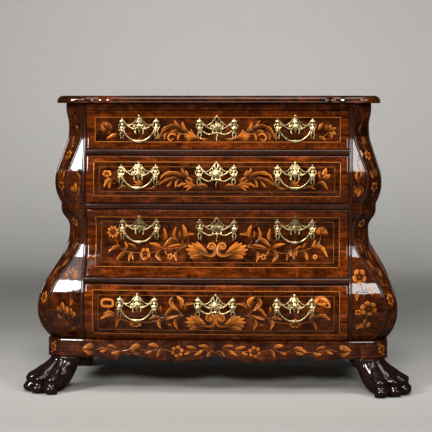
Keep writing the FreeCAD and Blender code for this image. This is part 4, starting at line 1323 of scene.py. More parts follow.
        (stem, (20, 350), (62, 450), (72, 500), (88, 546)),
        (stem, (16, 240), (-30, 270), (-70, 334)),
        (stem, (24, 240), (70, 270), (112, 330)),
        (leaf, 13, (-18, 262), (-52, 262), (-84, 286)),
        (leaf, 13, (58, 262), (92, 262), (124, 284)),
        (leaf, 13, (-40, 430), (-72, 420), (-104, 430)),
        (leaf, 13, (84, 434), (116, 424), (146, 436)),
        (leaf, 14, (20, 520), (2, 540), (-6, 572)),
        (leaf, 14, (20, 520), (40, 540), (48, 572)),
        (leaf, 12, (-22, 470), (-46, 494), (-72, 508)),
        (leaf, 12, (64, 470), (88, 494), (114, 510)),
        (leaf, 12, (4, 320), (-16, 340), (-24, 364)),
        (leaf, 12, (36, 320), (56, 340), (62, 364)),
        (lobed, 20, (20, 232), (-20, 224), (-56, 236)),
        (lobed, 20, (20, 232), (60, 224), (96, 236)),
        (leaf, 10, (19, 640), (8, 664), (12, 684)),
        (leaf, 10, (21, 640), (32, 664), (28, 684)),
    ],
}


def lay_spray(ground, kind, side):
    """Lays what both sides have, then what only this side has."""
    for which in ("both", side):
        for make, *measures in sprays.get((kind, which), []):
            make(ground, *measures)


def inlay_piece(name, grounds, body):
    """One piece of all that is laid on these grounds."""
    patches = [patch for ground in grounds for patch in ground.patches]
    inlay = piece(name, patches, body, finish("inlay"), close=True)
    return thicken(inlay, sizes().inlay_thickness)


def drawer_inlay(n):
    """A drawer's stringing and its spray, laid from the middle to either side. All but the
    upper drawer have a second, thinner frame within the first."""
    set_in, set_up, set_down = 15, 12, 12.5
    broad = sizes().stringing_width / mm
    lines = Ground(front_wall)
    half = stringing_half(n) / mm
    foot, head = (level / mm for level in stringing_levels(n))
    string_frame(lines, half, foot, head, broad)
    if n != drawers[0]:
        string_frame(lines, half - set_in, foot + set_up, head - set_down, broad * 0.55, 0.5)
    grounds = [lines]
    for side in sides:
        ground = Ground(front_wall, mirror=side)
        lay_spray(ground, n, side)
        grounds.append(ground)
    inlay_piece(f"drawer_{n}_marquetry", grounds, f"drawer_{n}")


def corner_inlay(side):
    """The stile, the canted corner and the side of the case, with their stringing."""
    name = side_names[side]
    # the stile's inlay is darkened: painted shade
    stile = Ground(stile_wall(side), hand=side, dim=0.12)
    lay_spray(stile, "stile", side)
    inlay_piece(f"stile_marquetry_{name}", [stile], "carcass")
    # the canted corner's inlay is darkened more: painted shade
    ribbon = Ground(ribbon_wall(side), hand=side, dim=0.2)
    lay_spray(ribbon, "ribbon", side)
    inlay_piece(f"canted_corner_marquetry_{name}", [ribbon], "carcass")
    panel = Ground(side_wall(side), hand=side)
    lay_spray(panel, "side", side)
    foot, head = (plinth_top + side_inset) / mm, (case_top - side_inset) / mm
    v = np.linspace(foot, head, 120)
    front, back = side_frame(v * mm)
    front, back = front / mm, back / mm
    broad = sizes().stringing_width / mm
    strip(panel, np.stack([front, v], -1), broad / 2, lambda t, s: 0.66 + 0 * t * s)
    string_line(panel, (back, foot), (back, head), broad)
    string_line(panel, (front[0], foot), (back, foot), broad)
    string_line(panel, (front[-1], head), (back, head), broad)
    inlay_piece(f"side_marquetry_{name}", [panel], "carcass")


def block_wall(side):
    """The canted face of the plinth block; u runs from its middle line."""

    def wall(u, v, lift=0.0):
        middle = (arris_x(0) + corner_x(0)) / 2
        x = middle + (u + lift) * diagonal
        y = arris_y(0) + middle - arris_x(0) + (u - lift) * diagonal
        return on_side(side, stacked(x, y, v))

    return wall


def apron_inlay():
    """The spray along the apron, and a flower on each canted block."""
    grounds = []
    for side in sides:
        ground = Ground(apron_wall, mirror=side)
        lay_spray(ground, "apron", side)
        block = Ground(block_wall(side), hand=side)
        lay_spray(block, "block", side)
        grounds += [ground, block]
    inlay_piece("plinth_marquetry", grounds, "carcass")


# ---------------------------------------------------------------- brass
def drawer_seat(n, x):
    """Maps (across, up, out) in millimetres from a pull's middle onto the drawer's bow."""
    z = pivot_z(n)
    return lambda u, v, w: front_wall(x + u * mm, z + v * mm, w * mm)


def pin_seat(joint):
    """The same about a bail's pin, square to it."""
    place = np.array(hinges[joint]["pos_m"])
    across = -np.array(hinges[joint]["axis"])
    out = np.array([across[1], -across[0], 0])

    def seat(u, v, w):
        u, v, w = (np.asarray(value)[..., None] * mm for value in np.broadcast_arrays(u, v, w))
        return place + u * across + v * np.array([0, 0, 1]) + w * out

    return seat


def turned(seat, u, profile, flat=0.62):
    """A turning laid on its back: (height, radius) carried round an ellipse, flat behind and
    fluted where it is wide."""
    v, r = np.array(profile, float).T
    a = ring_angles(32)
    across = u + r[:, None] * np.cos(a)
    flutes = 1 - 0.22 * np.abs(np.sin(4 * a)) * np.clip((r[:, None] - 4) / 3, 0, 1)
    depth = flat * r[:, None] * np.maximum(np.sin(a), 0) * flutes
    return closed_run(seat(across, v[:, None], depth))


def rod(seat, knots, radius, depth=None, count=None, beads=0, around=8):
    """A rod along a path: an ellipse square to it, radius wide and depth deep, each a number
    or one for every point of the way; beads swell it in turn."""
    over_plate = 2.6
    count = count or 10 * len(knots)
    knots = np.array([(*knot, over_plate)[:3] for knot in knots], float)
    path = through(knots, count)
    t = np.linspace(0, 1, count)
    swelled = 1 - 0.3 * np.abs(np.cos(beads * math.pi * t)) if beads else np.ones(count)
    wide = np.broadcast_to(radius, count) * swelled
    deep = wide if depth is None else np.broadcast_to(depth, count) * swelled
    step = np.gradient(path, axis=0)
    step /= np.linalg.norm(step, axis=1, keepdims=True)
    aside = np.stack([-step[:, 1], step[:, 0], 0 * t], -1)
    aside /= np.linalg.norm(aside, axis=1, keepdims=True)
    out = np.cross(step, aside)
    a = ring_angles(around)[None, :, None]
    points = path[:, None] + aside[:, None] * wide[:, None, None] * np.cos(a)
    points = points + out[:, None] * deep[:, None, None] * np.sin(a)
    return closed_run(seat(points[..., 0], points[..., 1], points[..., 2]), flip=True)


def knob(seat, u, profile):
    """A turning that stands out of the wall: (out, radius) about an axis square to it."""
    w, r = np.array(profile, float).T
    a = ring_angles(16)
    across = u + r[:, None] * np.cos(a)
    up = r[:, None] * np.sin(a)
    return closed_run(seat(across, up, w[:, None]), flip=True)


def pin_ring(seat, u, major, minor):
    """A ring about the bail's pin: a circle of minor radius carried round one of major."""
    b = np.linspace(0, 2 * math.pi, 25)[:, None]
    a = ring_angles(10)[None, :]
    r = major + minor * np.cos(a)
    return Patch(seat(u + minor * np.sin(a), r * np.cos(b), r * np.sin(b)), wrap=True)


def knotted(side, *knots):
    """Knots of a path, turned over for the left."""
    return [(side * u, v) for u, v in knots]


def casting_urns(seat):
    """The two urns that the pull's posts pass through, on bows with hanging tails."""
    urn = [(-9.5, 0.3), (-8, 2.8), (-5, 4.6), (-3.4, 3.6), (-1, 5.8), (3, 7.2), (7, 7), (10, 5),
           (12, 2.8), (14, 4.8), (16.4, 4.4), (18, 2.6), (20.6, 5), (23, 8.2), (25.4, 8.2),
           (27.6, 5.4), (29, 2.6), (30.4, 1.4), (32.4, 2.4), (34, 0.3)]
    tail = [(1.5, -4), (5, -12), (2.4, -18), (3.6, -24)]
    ear = [(5, 4), (9.5, 12), (5, 19)]
    patches = []
    for side in sides:
        patches.append(turned(seat, side * post_place, urn))
        for lean in (-1, 1):
            hung = [(side * (post_place + u * lean), v) for u, v in tail]
            patches.append(rod(seat, hung, np.linspace(2.4, 0.9, 32), count=32, beads=3))
            bent = [(side * (post_place + u * lean), v) for u, v in ear]
            patches.append(rod(seat, bent, 1.3))
    return patches


def casting_middle(seat, keyhole):
    """The middle urn under its arch, with bows and tassels; or the ring of the keyhole."""
    if keyhole:
        crown = [(36, 0.3), (37, 4.6), (38.8, 2), (40.4, 2.6), (42, 1.2), (42.6, 0.3)]
        foot = [(-7, 0.3), (-4, 3.4), (2, 7.5), (8, 11), (13, 10), (17, 6.5), (20.4, 5.2)]
        a = np.linspace(0, 2 * math.pi, 41)
        ring_u, ring_v = 6.2 * np.sin(a) * (0.74 + 0.26 * np.cos(a)), 28.4 + 8.4 * np.cos(a)
        ring = [(u, v, 1.4) for u, v in zip(ring_u, ring_v)]
        drop = [(0, -5), (1.4, -12), (-1.0, -20), (0, -29)]
        patches = [turned(seat, 0, crown), turned(seat, 0, foot, flat=0.4),
                   rod(seat, ring, 1.8, count=81),
                   rod(seat, drop, np.linspace(2.6, 1.0, 40), count=40, beads=4)]
    else:
        urn = [(20.4, 0.3), (20.5, 8.4), (22.5, 9.8), (24.5, 8), (28, 6.8), (32, 5), (35, 2.6),
               (36.6, 2), (38.6, 3.6), (41, 2.8), (42.5, 0.3)]
        bowl = [(-7, 0.3), (-4, 1.8), (0, 3.4), (5, 5.6), (10, 8.6), (14, 7), (17, 4.4),
                (20, 4.0)]
        patches = [turned(seat, 0, urn), turned(seat, 0, bowl)]
    for side in sides:
        arch = knotted(side, (6, 33), (10.5, 24), (8, 15), (13, 9))
        bow = knotted(side, (3, 11), (11, 15), (17, 10), (11, 5), (4, 9))
        tassel = knotted(side, (9, 3), (11.5, -2), (9.5, -9.5))
        patches.append(rod(seat, arch, 1.5))
        patches.append(rod(seat, bow, 1.5))
        patches.append(rod(seat, tassel, np.linspace(1.6, 2.6, 24), count=24, beads=2))
    return patches


def casting_swags(seat, keyhole):
    """Garlands from the middle to the urns, and the festoon below the keyhole."""
    patches = []
    for side in sides:
        lower = knotted(side, (40, 22), (28, 10.5), (14, 3))
        upper = knotted(side, (38, 14), (24, 15), (16, 20), (8, 30))
        patches.append(rod(seat, lower, 2.2, count=40, beads=6))
        patches.append(rod(seat, upper, 1.3, count=30))
    if keyhole:
        festoon = [(-42, -1), (-22, -10.5), (0, -6), (22, -10.5), (42, -1)]
        patches.append(rod(seat, festoon, 2.3, count=90, beads=13))
    return patches


def casting(seat, keyhole):
    """The whole openwork plate of a pull, or of a keyhole."""
    return casting_urns(seat) + casting_middle(seat, keyhole) + casting_swags(seat, keyhole)


def pull_plate(n, side):
    """The plate behind a bail."""
    x = hinges[f"drawer_{n}_bail_{side_names[side]}_hinge"]["pos_m"][0]
    return casting(drawer_seat(n, x), keyhole=False)


def post_heads(n, side):
    """The posts: a flange, a neck and a ring round the bail's pin."""
    seat = pin_seat(f"drawer_{n}_bail_{side_names[side]}_hinge")
    neck = [(-15, 0.3), (-15, 6), (-13.6, 6), (-12.4, 3.6), (-8, 2.8), (-5, 3.4), (-2.6, 3.4),
            (-2.4, 0.3)]
    patches = []
    for u in (-post_place, post_place):
        patches.append(knob(seat, u, neck))
        patches.append(pin_ring(seat, u, 3.7, 1.7))
    return patches


def bail(n, side):
    """The drop handle: a pin at either side with its stop beyond the post, a bowed rod and a
    lozenge to hold it by."""
    wire, grip_wide, grip_deep, grip_half = 1.9, 2.9, 1.6, 15
    pin_radius, pin_way = 1.68, (40.6, 46, 52.2)
    stop_radius, stop_way = 2.7, (50.2, 52.6)
    seat = pin_seat(f"drawer_{n}_bail_{side_names[side]}_hinge")
    right = [(0, -29.5), (14, -27), (24, -21.5), (33, -14), (39.5, -4), (41.5, 0)]
    knots = [(-u, v, 0) for u, v in right[:0:-1]] + [(u, v, 0) for u, v in right]
    count = 121
    grip = np.clip(1 - np.abs(through(knots, count)[:, 0]) / grip_half, 0, 1) ** 0.8
    patches = [rod(seat, knots, wire + grip_wide * grip, wire + grip_deep * grip, count=count,
                   around=12)]
    for end in sides:
        pin = [(end * u, 0, 0) for u in pin_way]
        patches.append(rod(seat, pin, pin_radius, count=12, around=12))
        stop = [(end * u, 0, 0) for u in stop_way]
        patches.append(rod(seat, stop, stop_radius, count=6, around=12))
    return patches


def cast_piece(name, patches, body):
    """A piece of brass, its edges kept where they turn sharply."""
    return piece(name, patches, body, finish("brass"), close=True, sharp=50)


def nuts(n):
    """Square nuts on the posts' shanks inside the drawer."""
    half, start, end = 4.4 * mm, 0.1 * mm, 3.2 * mm
    corners = np.array([(-1, -1), (1, -1), (1, 1), (-1, 1)]) * half
    y = high(f"drawer_{n}_front").y + np.array([start, end])[:, None]
    patches = []
    for side in sides:
        seat = pin_seat(f"drawer_{n}_bail_{side_names[side]}_hinge")
        for u in (-post_place, post_place):
            middle = seat(u, 0.0, 0.0)
            patches.append(closed_run(stacked(middle[0] + corners[:, 0], y,
                                              middle[2] + corners[:, 1])))
    return patches


def round_head(x, y, z, profile, count):
    """A head on a surface that faces the back: (radius, out) in millimetres, turned."""
    radius, out = np.array(profile).T[:, :, None] * mm
    a = ring_angles(count)
    return closed_run(stacked(x + radius * np.cos(a), y + out, z + radius * np.sin(a)))


def lock_screws(n):
    """Round heads at the corners of the lock."""
    inset, from_top = 6 * mm, 8 * mm
    profile = [(3.0, 0.05), (2.9, 0.7), (2.0, 1.3), (0.8, 1.5)]
    box_low, box_high = low(f"drawer_{n}_lock_case"), high(f"drawer_{n}_lock_case")
    return [round_head(x, box_high.y, z, profile, 14)
            for x in (box_low.x + inset, box_high.x - inset)
            for z in (box_low.z + inset, box_high.z - from_top)]


def back_nails():
    """Nails in rows, two to a plank, where the back planks meet the carcass."""
    planks, rows, inset, edge = 5, 4, 14 * mm, 12 * mm
    profile = [(3.4, 0.02), (3.2, 0.4), (1.6, 0.6)]
    box_low, box_high = low("back_boards"), high("back_boards")
    pitch = (box_high.x - box_low.x) / planks
    places = [(box_low.x + (plank + share) * pitch, row)
              for row in np.linspace(box_low.z + inset, box_high.z - inset, rows)
              for plank in range(planks)
              for share in (0.2, 0.8)]
    return [round_head(x, case_back, z, profile, 10)
            for x, z in places if abs(x) <= plinth_half + swell(z) - edge]


# ---------------------------------------------------------------- paws
toes = {-34.5: 0.955, -11.5: 1.0, 11.5: 1.0, 34.5: 0.955}  # turn in degrees: share of the reach
paw_heading = math.radians(-34)  # of a right paw, from +X


def paw(side):
    """A lion's paw, made of rings about an axis that moves forward on the way down. A ring's
    distance from the axis is the softened greatest of five: a circle for the body, with
    tufts, and with a ball that ends in a wavy hem, and a circle for each toe."""
    node = f"front_foot_{side_names[side]}"
    foot_reach, claw_reach, soft = 110 * mm, 119, 1.1
    tuft_depth, tuft_z, tuft_spread = 1.6, 82, 11
    ball_depth, hem_z, hem_rise, hem_wave, hem_edge = 2.4, 57, 9, 3, 0.9
    axis_x = max(high(node).x, -low(node).x) - foot_reach
    axis_y = low(node).y + foot_reach
    z = np.concatenate([np.linspace(0, 6, 7), np.linspace(6, plinth_low / mm, 64)[1:]])
    a = np.linspace(-math.pi, math.pi, 200, endpoint=False)[None, :]

    def at(*pairs):
        """Values for each ring from (height, value) pairs."""
        heights, values = np.array(pairs, float).T
        return through_height(z, heights, values)[:, None]

    forward = at((0, 46), (6, 40), (14, 34), (30, 26), (50, 14), (70, 4), (84, 0.5), (94, 0))
    centre = at((0, 58), (6, 57), (14, 56), (30, 52), (50, 40), (62, 30), (72, 18), (84, 3),
                (94, 0)) - forward
    round_body = at((0, 25), (6, 35), (14, 43), (30, 51), (40, 52), (50, 51), (62, 48.5),
                    (72, 47), (84, 46), (94, 48))
    reach = at((0, 112), (5, 121), (14, 125), (26, 123), (40, 116), (52, 104), (62, 88),
               (72, 70), (84, 55), (94, 46))
    knuckle = at((0, 0), (8, 1), (16, 2), (28, -4.4), (42, 4.4), (55, -2), (66, 0.8),
                 (94, 0))
    toe = at((0, 14.5), (5, 17.4), (14, 18.8), (28, 16), (42, 19), (56, 15), (94, 10))
    z = z[:, None]
    waves = np.abs(np.sin(8 * a))
    body = centre * np.cos(a) + np.sqrt(round_body**2 - (centre * np.sin(a)) ** 2)
    tufts = tuft_depth * waves * np.exp(-(((z - tuft_z) / tuft_spread) ** 2))
    hem = hem_z + hem_rise * np.cos(a) ** 2 - hem_wave * waves
    ball = ball_depth / (1 + np.exp((z - hem) / hem_edge))
    rings = [body + tufts + ball]
    for degrees, share in toes.items():
        angle = math.radians(degrees)
        from_ankle = (reach + knuckle) * share - toe
        ahead = from_ankle * math.cos(angle) - forward
        across = from_ankle * math.sin(angle)
        far = np.hypot(ahead, across)
        turn = a - np.arctan2(across, ahead)
        chord = toe**2 - (far * np.sin(turn)) ** 2
        ring = far * np.cos(turn) + np.sqrt(np.maximum(chord, 0))
        rings.append(np.where((chord > 0) & (np.cos(turn) > 0), ring, 0))
    rings = np.stack(rings)
    greatest = rings.max(0)
    r = soft * np.log(np.exp((rings - greatest) / soft).sum(0)) + greatest
    x = axis_x + (forward * math.cos(paw_heading) + r * np.cos(paw_heading + a)) * mm
    y = axis_y + (forward * math.sin(paw_heading) + r * np.sin(paw_heading + a)) * mm
    patches = [closed_run(on_side(side, stacked(x, y, z * mm)), flip=side > 0)]
    for degrees, share in toes.items():
        heading = paw_heading + math.radians(degrees)
        patches.append(claw(side, axis_x, axis_y, heading, claw_reach * share))
    return patches


def through_height(z, heights, values):
    """A smooth curve through values given at some heights: a cubic between each two, its
    slopes there from the neighbours."""
    slopes = np.gradient(values, heights)
    i = np.clip(np.searchsorted(heights, z) - 1, 0, len(heights) - 2)
    width = heights[i + 1] - heights[i]
    t = (z - heights[i]) / width
    start = (2 * t**3 - 3 * t**2 + 1) * values[i] + (t**3 - 2 * t**2 + t) * width * slopes[i]
    end = (3 * t**2 - 2 * t**3) * values[i + 1] + (t**3 - t**2) * width * slopes[i + 1]
    return start + end


def claw(side, axis_x, axis_y, heading, reach):
    """A short claw curving out of a toe towards the floor: a circle that narrows on a path
    out by a quarter sine and down by a power of t."""
    root_z, drop, length, root_in = 17, 15.5, 11, 6
    thickness, blunt, over_floor = 4.2, 0.2, 0.3
    t = np.linspace(0, 1, 9)[:, None]
    out = reach - root_in + length * np.sin(t * math.pi / 2)
    z = root_z - drop * t**1.4
    radius = thickness * (1 - t) ** 0.6 + blunt
    a = ring_angles(10)[None, :]
    x = axis_x + (out * math.cos(heading) - radius * np.cos(a) * math.sin(heading)) * mm
    y = axis_y + (out * math.sin(heading) + radius * np.cos(a) * math.cos(heading)) * mm
    up = np.maximum(z + radius * np.sin(a), over_floor) * mm
    return closed_run(on_side(side, stacked(x, y, up)), flip=side < 0)


# ---------------------------------------------------------------- stage
def stage_sweep():
    """Floor and backdrop in one sheet: a straight, a quarter round and an upright."""
    near, bend, radius, top, half = -1.7, 3.0, 1.6, 7.0, 8.0
    a = np.linspace(0, math.pi / 2, 24)[1:]
    floor_y = np.linspace(near, bend, 30)
    rise_z = np.linspace(radius, top, 12)[1:]
    y = np.concatenate([floor_y, bend + radius * np.sin(a), np.full(rise_z.shape, bend + radius)])
    z = np.concatenate([np.zeros_like(floor_y), radius * (1 - np.cos(a)), rise_z])
    x = np.linspace(-half, half, 30)[:, None]
    return Patch(stacked(x, y[None, :], z[None, :]))


def studio_paper():
    """Pale paper with painted light and shade along the sweep: painted light under the chest
    where its shadow falls, set by the shares of its colour below. Only the camera sees it so:
    to every other ray it is dark, a painted shade that deepens the shadow under the chest and
    darkens the paper in the polish, and from its back it is clear, so that a camera behind it
    still sees the chest."""
    # painted light and shade: shares of the paper's colour along the sweep, paler under the chest
    # where its shadow falls
    painted_light_shares = [(0.0, 0.88), (0.17, 0.9), (0.22, 1.15), (0.25, 1.4), (0.29, 1.5), (0.34, 1.2),
              (0.4, 1.0), (0.52, 1.02), (0.6, 1.1), (0.66, 1.1), (0.71, 1.08), (0.79, 1.07),
              (1.0, 1.0)]
    # the share of the paper's colour that every ray but the camera's sees: a painted shade that
    # deepens the shadow under the chest and darkens the paper in the polish
    before, length, other_rays_share = 2.0, 8.0, 0.12
    f = Finish("studio_paper")
    colour = tuple(colours().floor)
    parts = f.add("ShaderNodeSeparateXYZ", Vector=f.place)
    run = f.math("ADD", parts.outputs["Y"], parts.outputs["Z"])
    run = f.math("MULTIPLY", f.math("ADD", run, before), 1 / length)
    fibres = f.noise(f.place, scale=55, detail=6, roughness=0.7)
    # the paper's colour with its painted light and shade along the sweep
    paper = f.ramp(run, [(place, times(colour, share)) for place, share in painted_light_shares])
    flecks = f.ramp(fibres, [(0.3, (0.93,) * 3), (0.7, (1.0,) * 3)])
    seen = f.mixed(1.0, paper, flecks, "MULTIPLY")
    camera_ray = f.add("ShaderNodeLightPath").outputs["Is Camera Ray"]
    behind = f.add("ShaderNodeNewGeometry").outputs["Backfacing"]
    # dark paper for every ray but the camera's: painted shade under the chest
    f.set(Base_Color=f.mixed(camera_ray, times(colour, other_rays_share), seen), Roughness=0.75,
          Alpha=f.math("SUBTRACT", 1.0, f.math("MULTIPLY", behind, camera_ray)),
          Normal=f.relief(fibres, 0.2 * mm))
    return f.material


def softbox(name, place, aim, width, height, power, lights=True, shows=True, angle=180):
    """A rectangular lamp that faces a point; it may light only, or only show in polish."""
    lamp = bpy.data.lights.new(name, "AREA")
    lamp.shape = "RECTANGLE"
    lamp.size, lamp.size_y = width, height
    lamp.energy = power
    lamp.spread = math.radians(angle)
    obj = bpy.data.objects.new(name, lamp)
    bpy.context.scene.collection.objects.link(obj)
    obj.location = place
    obj.rotation_euler = (Vector(aim) - Vector(place)).to_track_quat("-Z", "Y").to_euler()
    obj.visible_camera = False
    obj.visible_diffuse = lights
    obj.visible_glossy = shows


def lamps():
    """Left lamps make the long gleams of the polish, right ones the short; fills only light."""
    left = (-0.35, -0.25, 0.6)
    softbox("left_softbox", (-1.74, -2.46, 2.5), left, 0.74, 1.4, 200, lights=False)
    softbox("left_glow", (-1.83, -2.47, 2.48), left, 0.6, 2.4, 13, lights=False)
    softbox("right_window", (1.22, -2.6, 2.46), (0.42, -0.27, 0.4), 0.4, 1.3, 26, lights=False)
    softbox("left_fill", (-1.9, -2.6, 2.0), (-0.2, -0.25, 0.4), 0.8, 0.8, 60, shows=False)
    softbox("right_softbox", (2.3, -2.3, 2.3), (0.35, -0.25, 0.5), 1.0, 1.1, 32)
    softbox("overhead_softbox", (0.2, -0.9, 3.4), (0.1, -0.4, 0), 2.2, 1.2, 45)
    softbox("front_fill", (0.2, -3.9, 1.45), (0, 0, 0.4), 0.7, 0.5, 74, shows=False)
    softbox("backdrop_softbox", (-0.3, 2.3, 3.6), (-0.2, 4.6, 1.0), 4.0, 1.0, 24, shows=False,
            angle=80)


def backdrop():
    """The sweep of paper under and behind the chest."""
    sweep = stage_sweep()
    mesh = bpy.data.meshes.new("studio_sweep")
    mesh.from_pydata(sweep.points.reshape(-1, 3).tolist(), [], sweep.faces.tolist())
    floor = bpy.data.objects.new("studio_sweep", mesh)
    bpy.context.scene.collection.objects.link(floor)
    mesh.polygons.foreach_set("use_smooth", np.full(len(mesh.polygons), True))
    mesh.materials.append(studio_paper())


def pale_world():
    """A dim cool light from all round, paler where the camera looks past the paper."""
    lit, seen = 0.03, 0.5
    world = bpy.data.worlds.new("studio")
    bpy.context.scene.world = world
    world.use_nodes = True
    light = world.node_tree.nodes["Background"]
    light.inputs["Color"].default_value = (0.8, 0.81, 0.83, 1)
    rays = world.node_tree.nodes.new("ShaderNodeLightPath")
    strength = world.node_tree.nodes.new("ShaderNodeMapRange")
    strength.inputs["To Min"].default_value = lit
    strength.inputs["To Max"].default_value = seen
    join = world.node_tree.links.new
    join(rays.outputs["Is Camera Ray"], strength.inputs["Value"])
    join(strength.outputs["Result"], light.inputs["Strength"])


def front_camera():
    """A long lens a little to the right of the middle, looking slightly down and left."""
    film_width, picture_width, focal_pixels = 36, 432, 1790
    down, left = 0.0671, 0.0606
    lens = bpy.data.cameras.new("camera")
    lens.sensor_width = film_width
    lens.lens = focal_pixels * film_width / picture_width
    lens.clip_end = 60
    camera = bpy.data.objects.new("camera", lens)
    camera.location = (0.2895, -5.0, 0.8)
    camera.rotation_euler = (math.pi / 2 - down, 0, left)
    bpy.context.scene.collection.objects.link(camera)
    bpy.context.scene.camera = camera
    bpy.context.scene.view_settings.view_transform = "Standard"


# ---------------------------------------------------------------- operators
class CHEST_OT_cad_finishes(bpy.types.Operator):
    """Gives every carcass and drawer part of the frame its wood or metal"""

    bl_idname = "chest.cad_finishes"
    bl_label = "Finish the carcass and drawer parts"

    def execute(self, context):
        groups = {
            "veneer": ["corner_post_", "side_left", "side_right", "front_apron",
                       "plinth_blocks", "_front"],
            "moulding": ["drawer_rails", "frieze_rail", "top_board", "side_aprons"],
            # the rear feet take the paws' dark wood as a painted shade, for they stand in the
            # shadow under the chest
            "paw": ["front_foot", "rear_feet"],
            "oak_along": ["_bottom", "dust_boards", "rear_apron", "drawer_stops",
                          "rear_corner"],
            "oak_deep": ["_linings", "drawer_guides"],
            "oak_upright": ["back_boards"],
            "iron": ["_lock_case", "_lock_bolt"],
            "brass": ["_pull_", "_bail_", "_escutcheon"],
        }
        for name, node in frame["nodes"].items():
            fitting = [g for g, keys in groups.items() if any(k in name for k in keys)]
            if len(fitting) != 1:
                raise RuntimeError(f"{name} needs one finish and has {fitting}")
            node.data.materials.clear()
            node.data.materials.append(finish(fitting[0]))
        return {"FINISHED"}


class CHEST_OT_drawer_veneers(bpy.types.Operator):
    """Lays the cross-banded veneer on the four drawer fronts"""

    bl_idname = "chest.drawer_veneers"
    bl_label = "Veneer the drawers"

    def execute(self, context):
        for n in drawers:
            drawer_veneer(n)
        return {"FINISHED"}


class CHEST_OT_case_veneers(bpy.types.Operator):
    """Lays the veneer on the sides, canted corners, stiles, plinth and frieze"""

    bl_idname = "chest.case_veneers"
    bl_label = "Veneer the case"

    def execute(self, context):
        for side in sides:
            name = side_names[side]
            veneer_sheet(f"side_veneer_{name}", [case_side_veneer(side)], "carcass")
            veneer_sheet(f"canted_corner_veneer_{name}", [ribbon_veneer(side)], "carcass")
            veneer_sheet(f"stile_veneer_{name}", [stile_veneer(side)], "carcass")
            veneer_sheet(f"plinth_veneer_{name}", block_veneer(side), "carcass")
        veneer_sheet("apron_veneer", [apron_veneer()], "carcass")
        veneer_sheet("frieze_veneer", [frieze_veneer()], "carcass")
        return {"FINISHED"}


class CHEST_OT_mouldings(bpy.types.Operator):
    """Carries the rounded rails along the bow and the beads up the swell"""

    bl_idname = "chest.mouldings"
    bl_label = "Run the mouldings"

    def execute(self, context):
        rails = [rail_nosing(drawer_high[n] + drawer_gap) for n in drawers[1:]]
        piece("rail_nosings", rails, "carcass", finish("moulding"), close=True,
              sharp=50)
        beads = [drawer_bead(side) for side in sides]
        piece("drawer_beads", beads, "carcass", finish("upright"), close=True,
              sharp=50)
        arris_radius, corner_radius = 3.8 * mm, 2.8 * mm
        edges = [corner_bead(side, arris_x, arris_y, arris_radius) for side in sides]
        edges += [corner_bead(side, corner_x, corner_y, corner_radius) for side in sides]
        piece("canted_corner_beads", edges, "carcass", finish("upright"), close=True)
        return {"FINISHED"}


class CHEST_OT_top(bpy.types.Operator):
    """Makes the moulded, cross-banded top"""

    bl_idname = "chest.top"
    bl_label = "Make the top"

    def execute(self, context):
        top = piece("moulded_top", [top_surface()], "carcass", finish("veneer"),
                    close=True, sharp=35)
        top.data.materials.append(finish("top"))
        middles = np.empty(3 * len(top.data.polygons), np.float32)
        top.data.polygons.foreach_get("center", middles)
        flat = middles[2::3] > board_top - 0.05 * mm
        top.data.polygons.foreach_set("material_index", flat.astype(np.int32))
        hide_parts("top_board")
        return {"FINISHED"}


class CHEST_OT_marquetry(bpy.types.Operator):
    """Lays stringing and floral marquetry on the drawers, the corners, sides and plinth"""

    bl_idname = "chest.marquetry"
    bl_label = "Lay the marquetry"

    def execute(self, context):
        for n in drawers:
            drawer_inlay(n)
        for side in sides:
            corner_inlay(side)
        apron_inlay()
        return {"FINISHED"}


class CHEST_OT_paws(bpy.types.Operator):
    """Carves the lion's paws"""

    bl_idname = "chest.paws"
    bl_label = "Carve the paws"

    def execute(self, context):
        for side in sides:
            name = side_names[side]
            foot = piece(f"lion_paw_{name}", paw(side), "carcass", finish("paw"),
                         close=True)
            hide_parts(f"front_foot_{name}")
        return {"FINISHED"}


class CHEST_OT_brass(bpy.types.Operator):
    """Casts the pull plates, escutcheons, posts and bails"""

    bl_idname = "chest.brass"
    bl_label = "Fit the brass"

    def execute(self, context):
        for n in drawers:
            plates = [
                ("plates", "pull_plates", [p for side in sides for p in pull_plate(n, side)]),
                ("posts", "pull_posts", [p for side in sides for p in post_heads(n, side)]),
                ("keyhole_plate", "escutcheon", casting(drawer_seat(n, 0.0), keyhole=True)),
            ]
            for name, replaced, patches in plates:
                made = cast_piece(f"drawer_{n}_cast_{name}", patches, f"drawer_{n}")
                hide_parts(f"drawer_{n}_{replaced}")
            for side in sides:
                name = side_names[side]
                old = f"drawer_{n}_bail_{name}"
                made = cast_piece(f"drawer_{n}_cast_bail_{name}", bail(n, side), old)
                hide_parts(old)
        return {"FINISHED"}


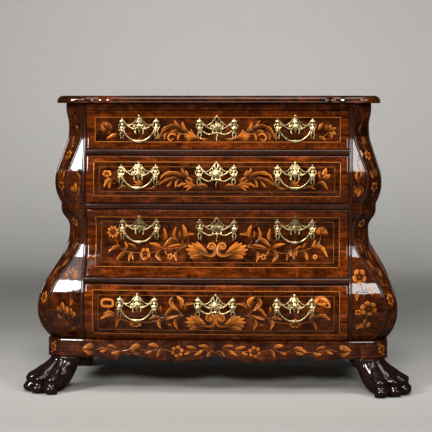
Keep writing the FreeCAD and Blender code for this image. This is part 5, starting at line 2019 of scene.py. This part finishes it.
class CHEST_OT_ironwork(bpy.types.Operator):
    """Adds the nuts on the pulls' shanks, the screws of the locks and the nails of the back"""

    bl_idname = "chest.ironwork"
    bl_label = "Fit nuts, screws and nails"

    def execute(self, context):
        for n in drawers:
            piece(f"drawer_{n}_nuts", nuts(n), f"drawer_{n}", finish("iron"),
                  close=True, smooth=False)
            piece(f"drawer_{n}_lock_screws", lock_screws(n), f"drawer_{n}", finish("iron"),
                  close=True, sharp=50)
        piece("back_nails", back_nails(), "carcass", finish("iron"), close=True,
              sharp=50)
        return {"FINISHED"}


class CHEST_OT_stage(bpy.types.Operator):
    """Sets the pale floor, the softboxes and the camera"""

    bl_idname = "chest.stage"
    bl_label = "Set the stage"

    def execute(self, context):
        backdrop()
        lamps()
        pale_world()
        front_camera()
        return {"FINISHED"}


steps = [
    CHEST_OT_cad_finishes,
    CHEST_OT_drawer_veneers,
    CHEST_OT_case_veneers,
    CHEST_OT_mouldings,
    CHEST_OT_top,
    CHEST_OT_marquetry,
    CHEST_OT_paws,
    CHEST_OT_brass,
    CHEST_OT_ironwork,
    CHEST_OT_stage,
]


class CHEST_PT_steps(bpy.types.Panel):
    """Lists the steps that dress the chest"""

    bl_idname = "CHEST_PT_steps"
    bl_label = "Bombe chest"
    bl_space_type = "VIEW_3D"
    bl_region_type = "UI"
    bl_category = "Chest"

    def draw(self, context):
        for step in steps:
            self.layout.operator(step.bl_idname)
        for group in (context.scene.chest_sizes, context.scene.chest_colours):
            for name in group.bl_rna.properties.keys():
                if name not in ("name", "rna_type"):
                    self.layout.prop(group, name)


def register():
    """Makes the classes known and hangs the two groups of values on the scene."""
    for group in (ChestSizes, ChestColours, *steps, CHEST_PT_steps):
        bpy.utils.register_class(group)
    bpy.types.Scene.chest_sizes = bpy.props.PointerProperty(type=ChestSizes)
    bpy.types.Scene.chest_colours = bpy.props.PointerProperty(type=ChestColours)


def unregister():
    """Undoes register."""
    del bpy.types.Scene.chest_colours
    del bpy.types.Scene.chest_sizes
    for group in (CHEST_PT_steps, *reversed(steps), ChestColours, ChestSizes):
        bpy.utils.unregister_class(group)


def main():
    """Takes the steps in order."""
    register()
    for step in steps:
        group, action = step.bl_idname.split(".")
        getattr(getattr(bpy.ops, group), action)()


if __name__ == "__main__":
    main()
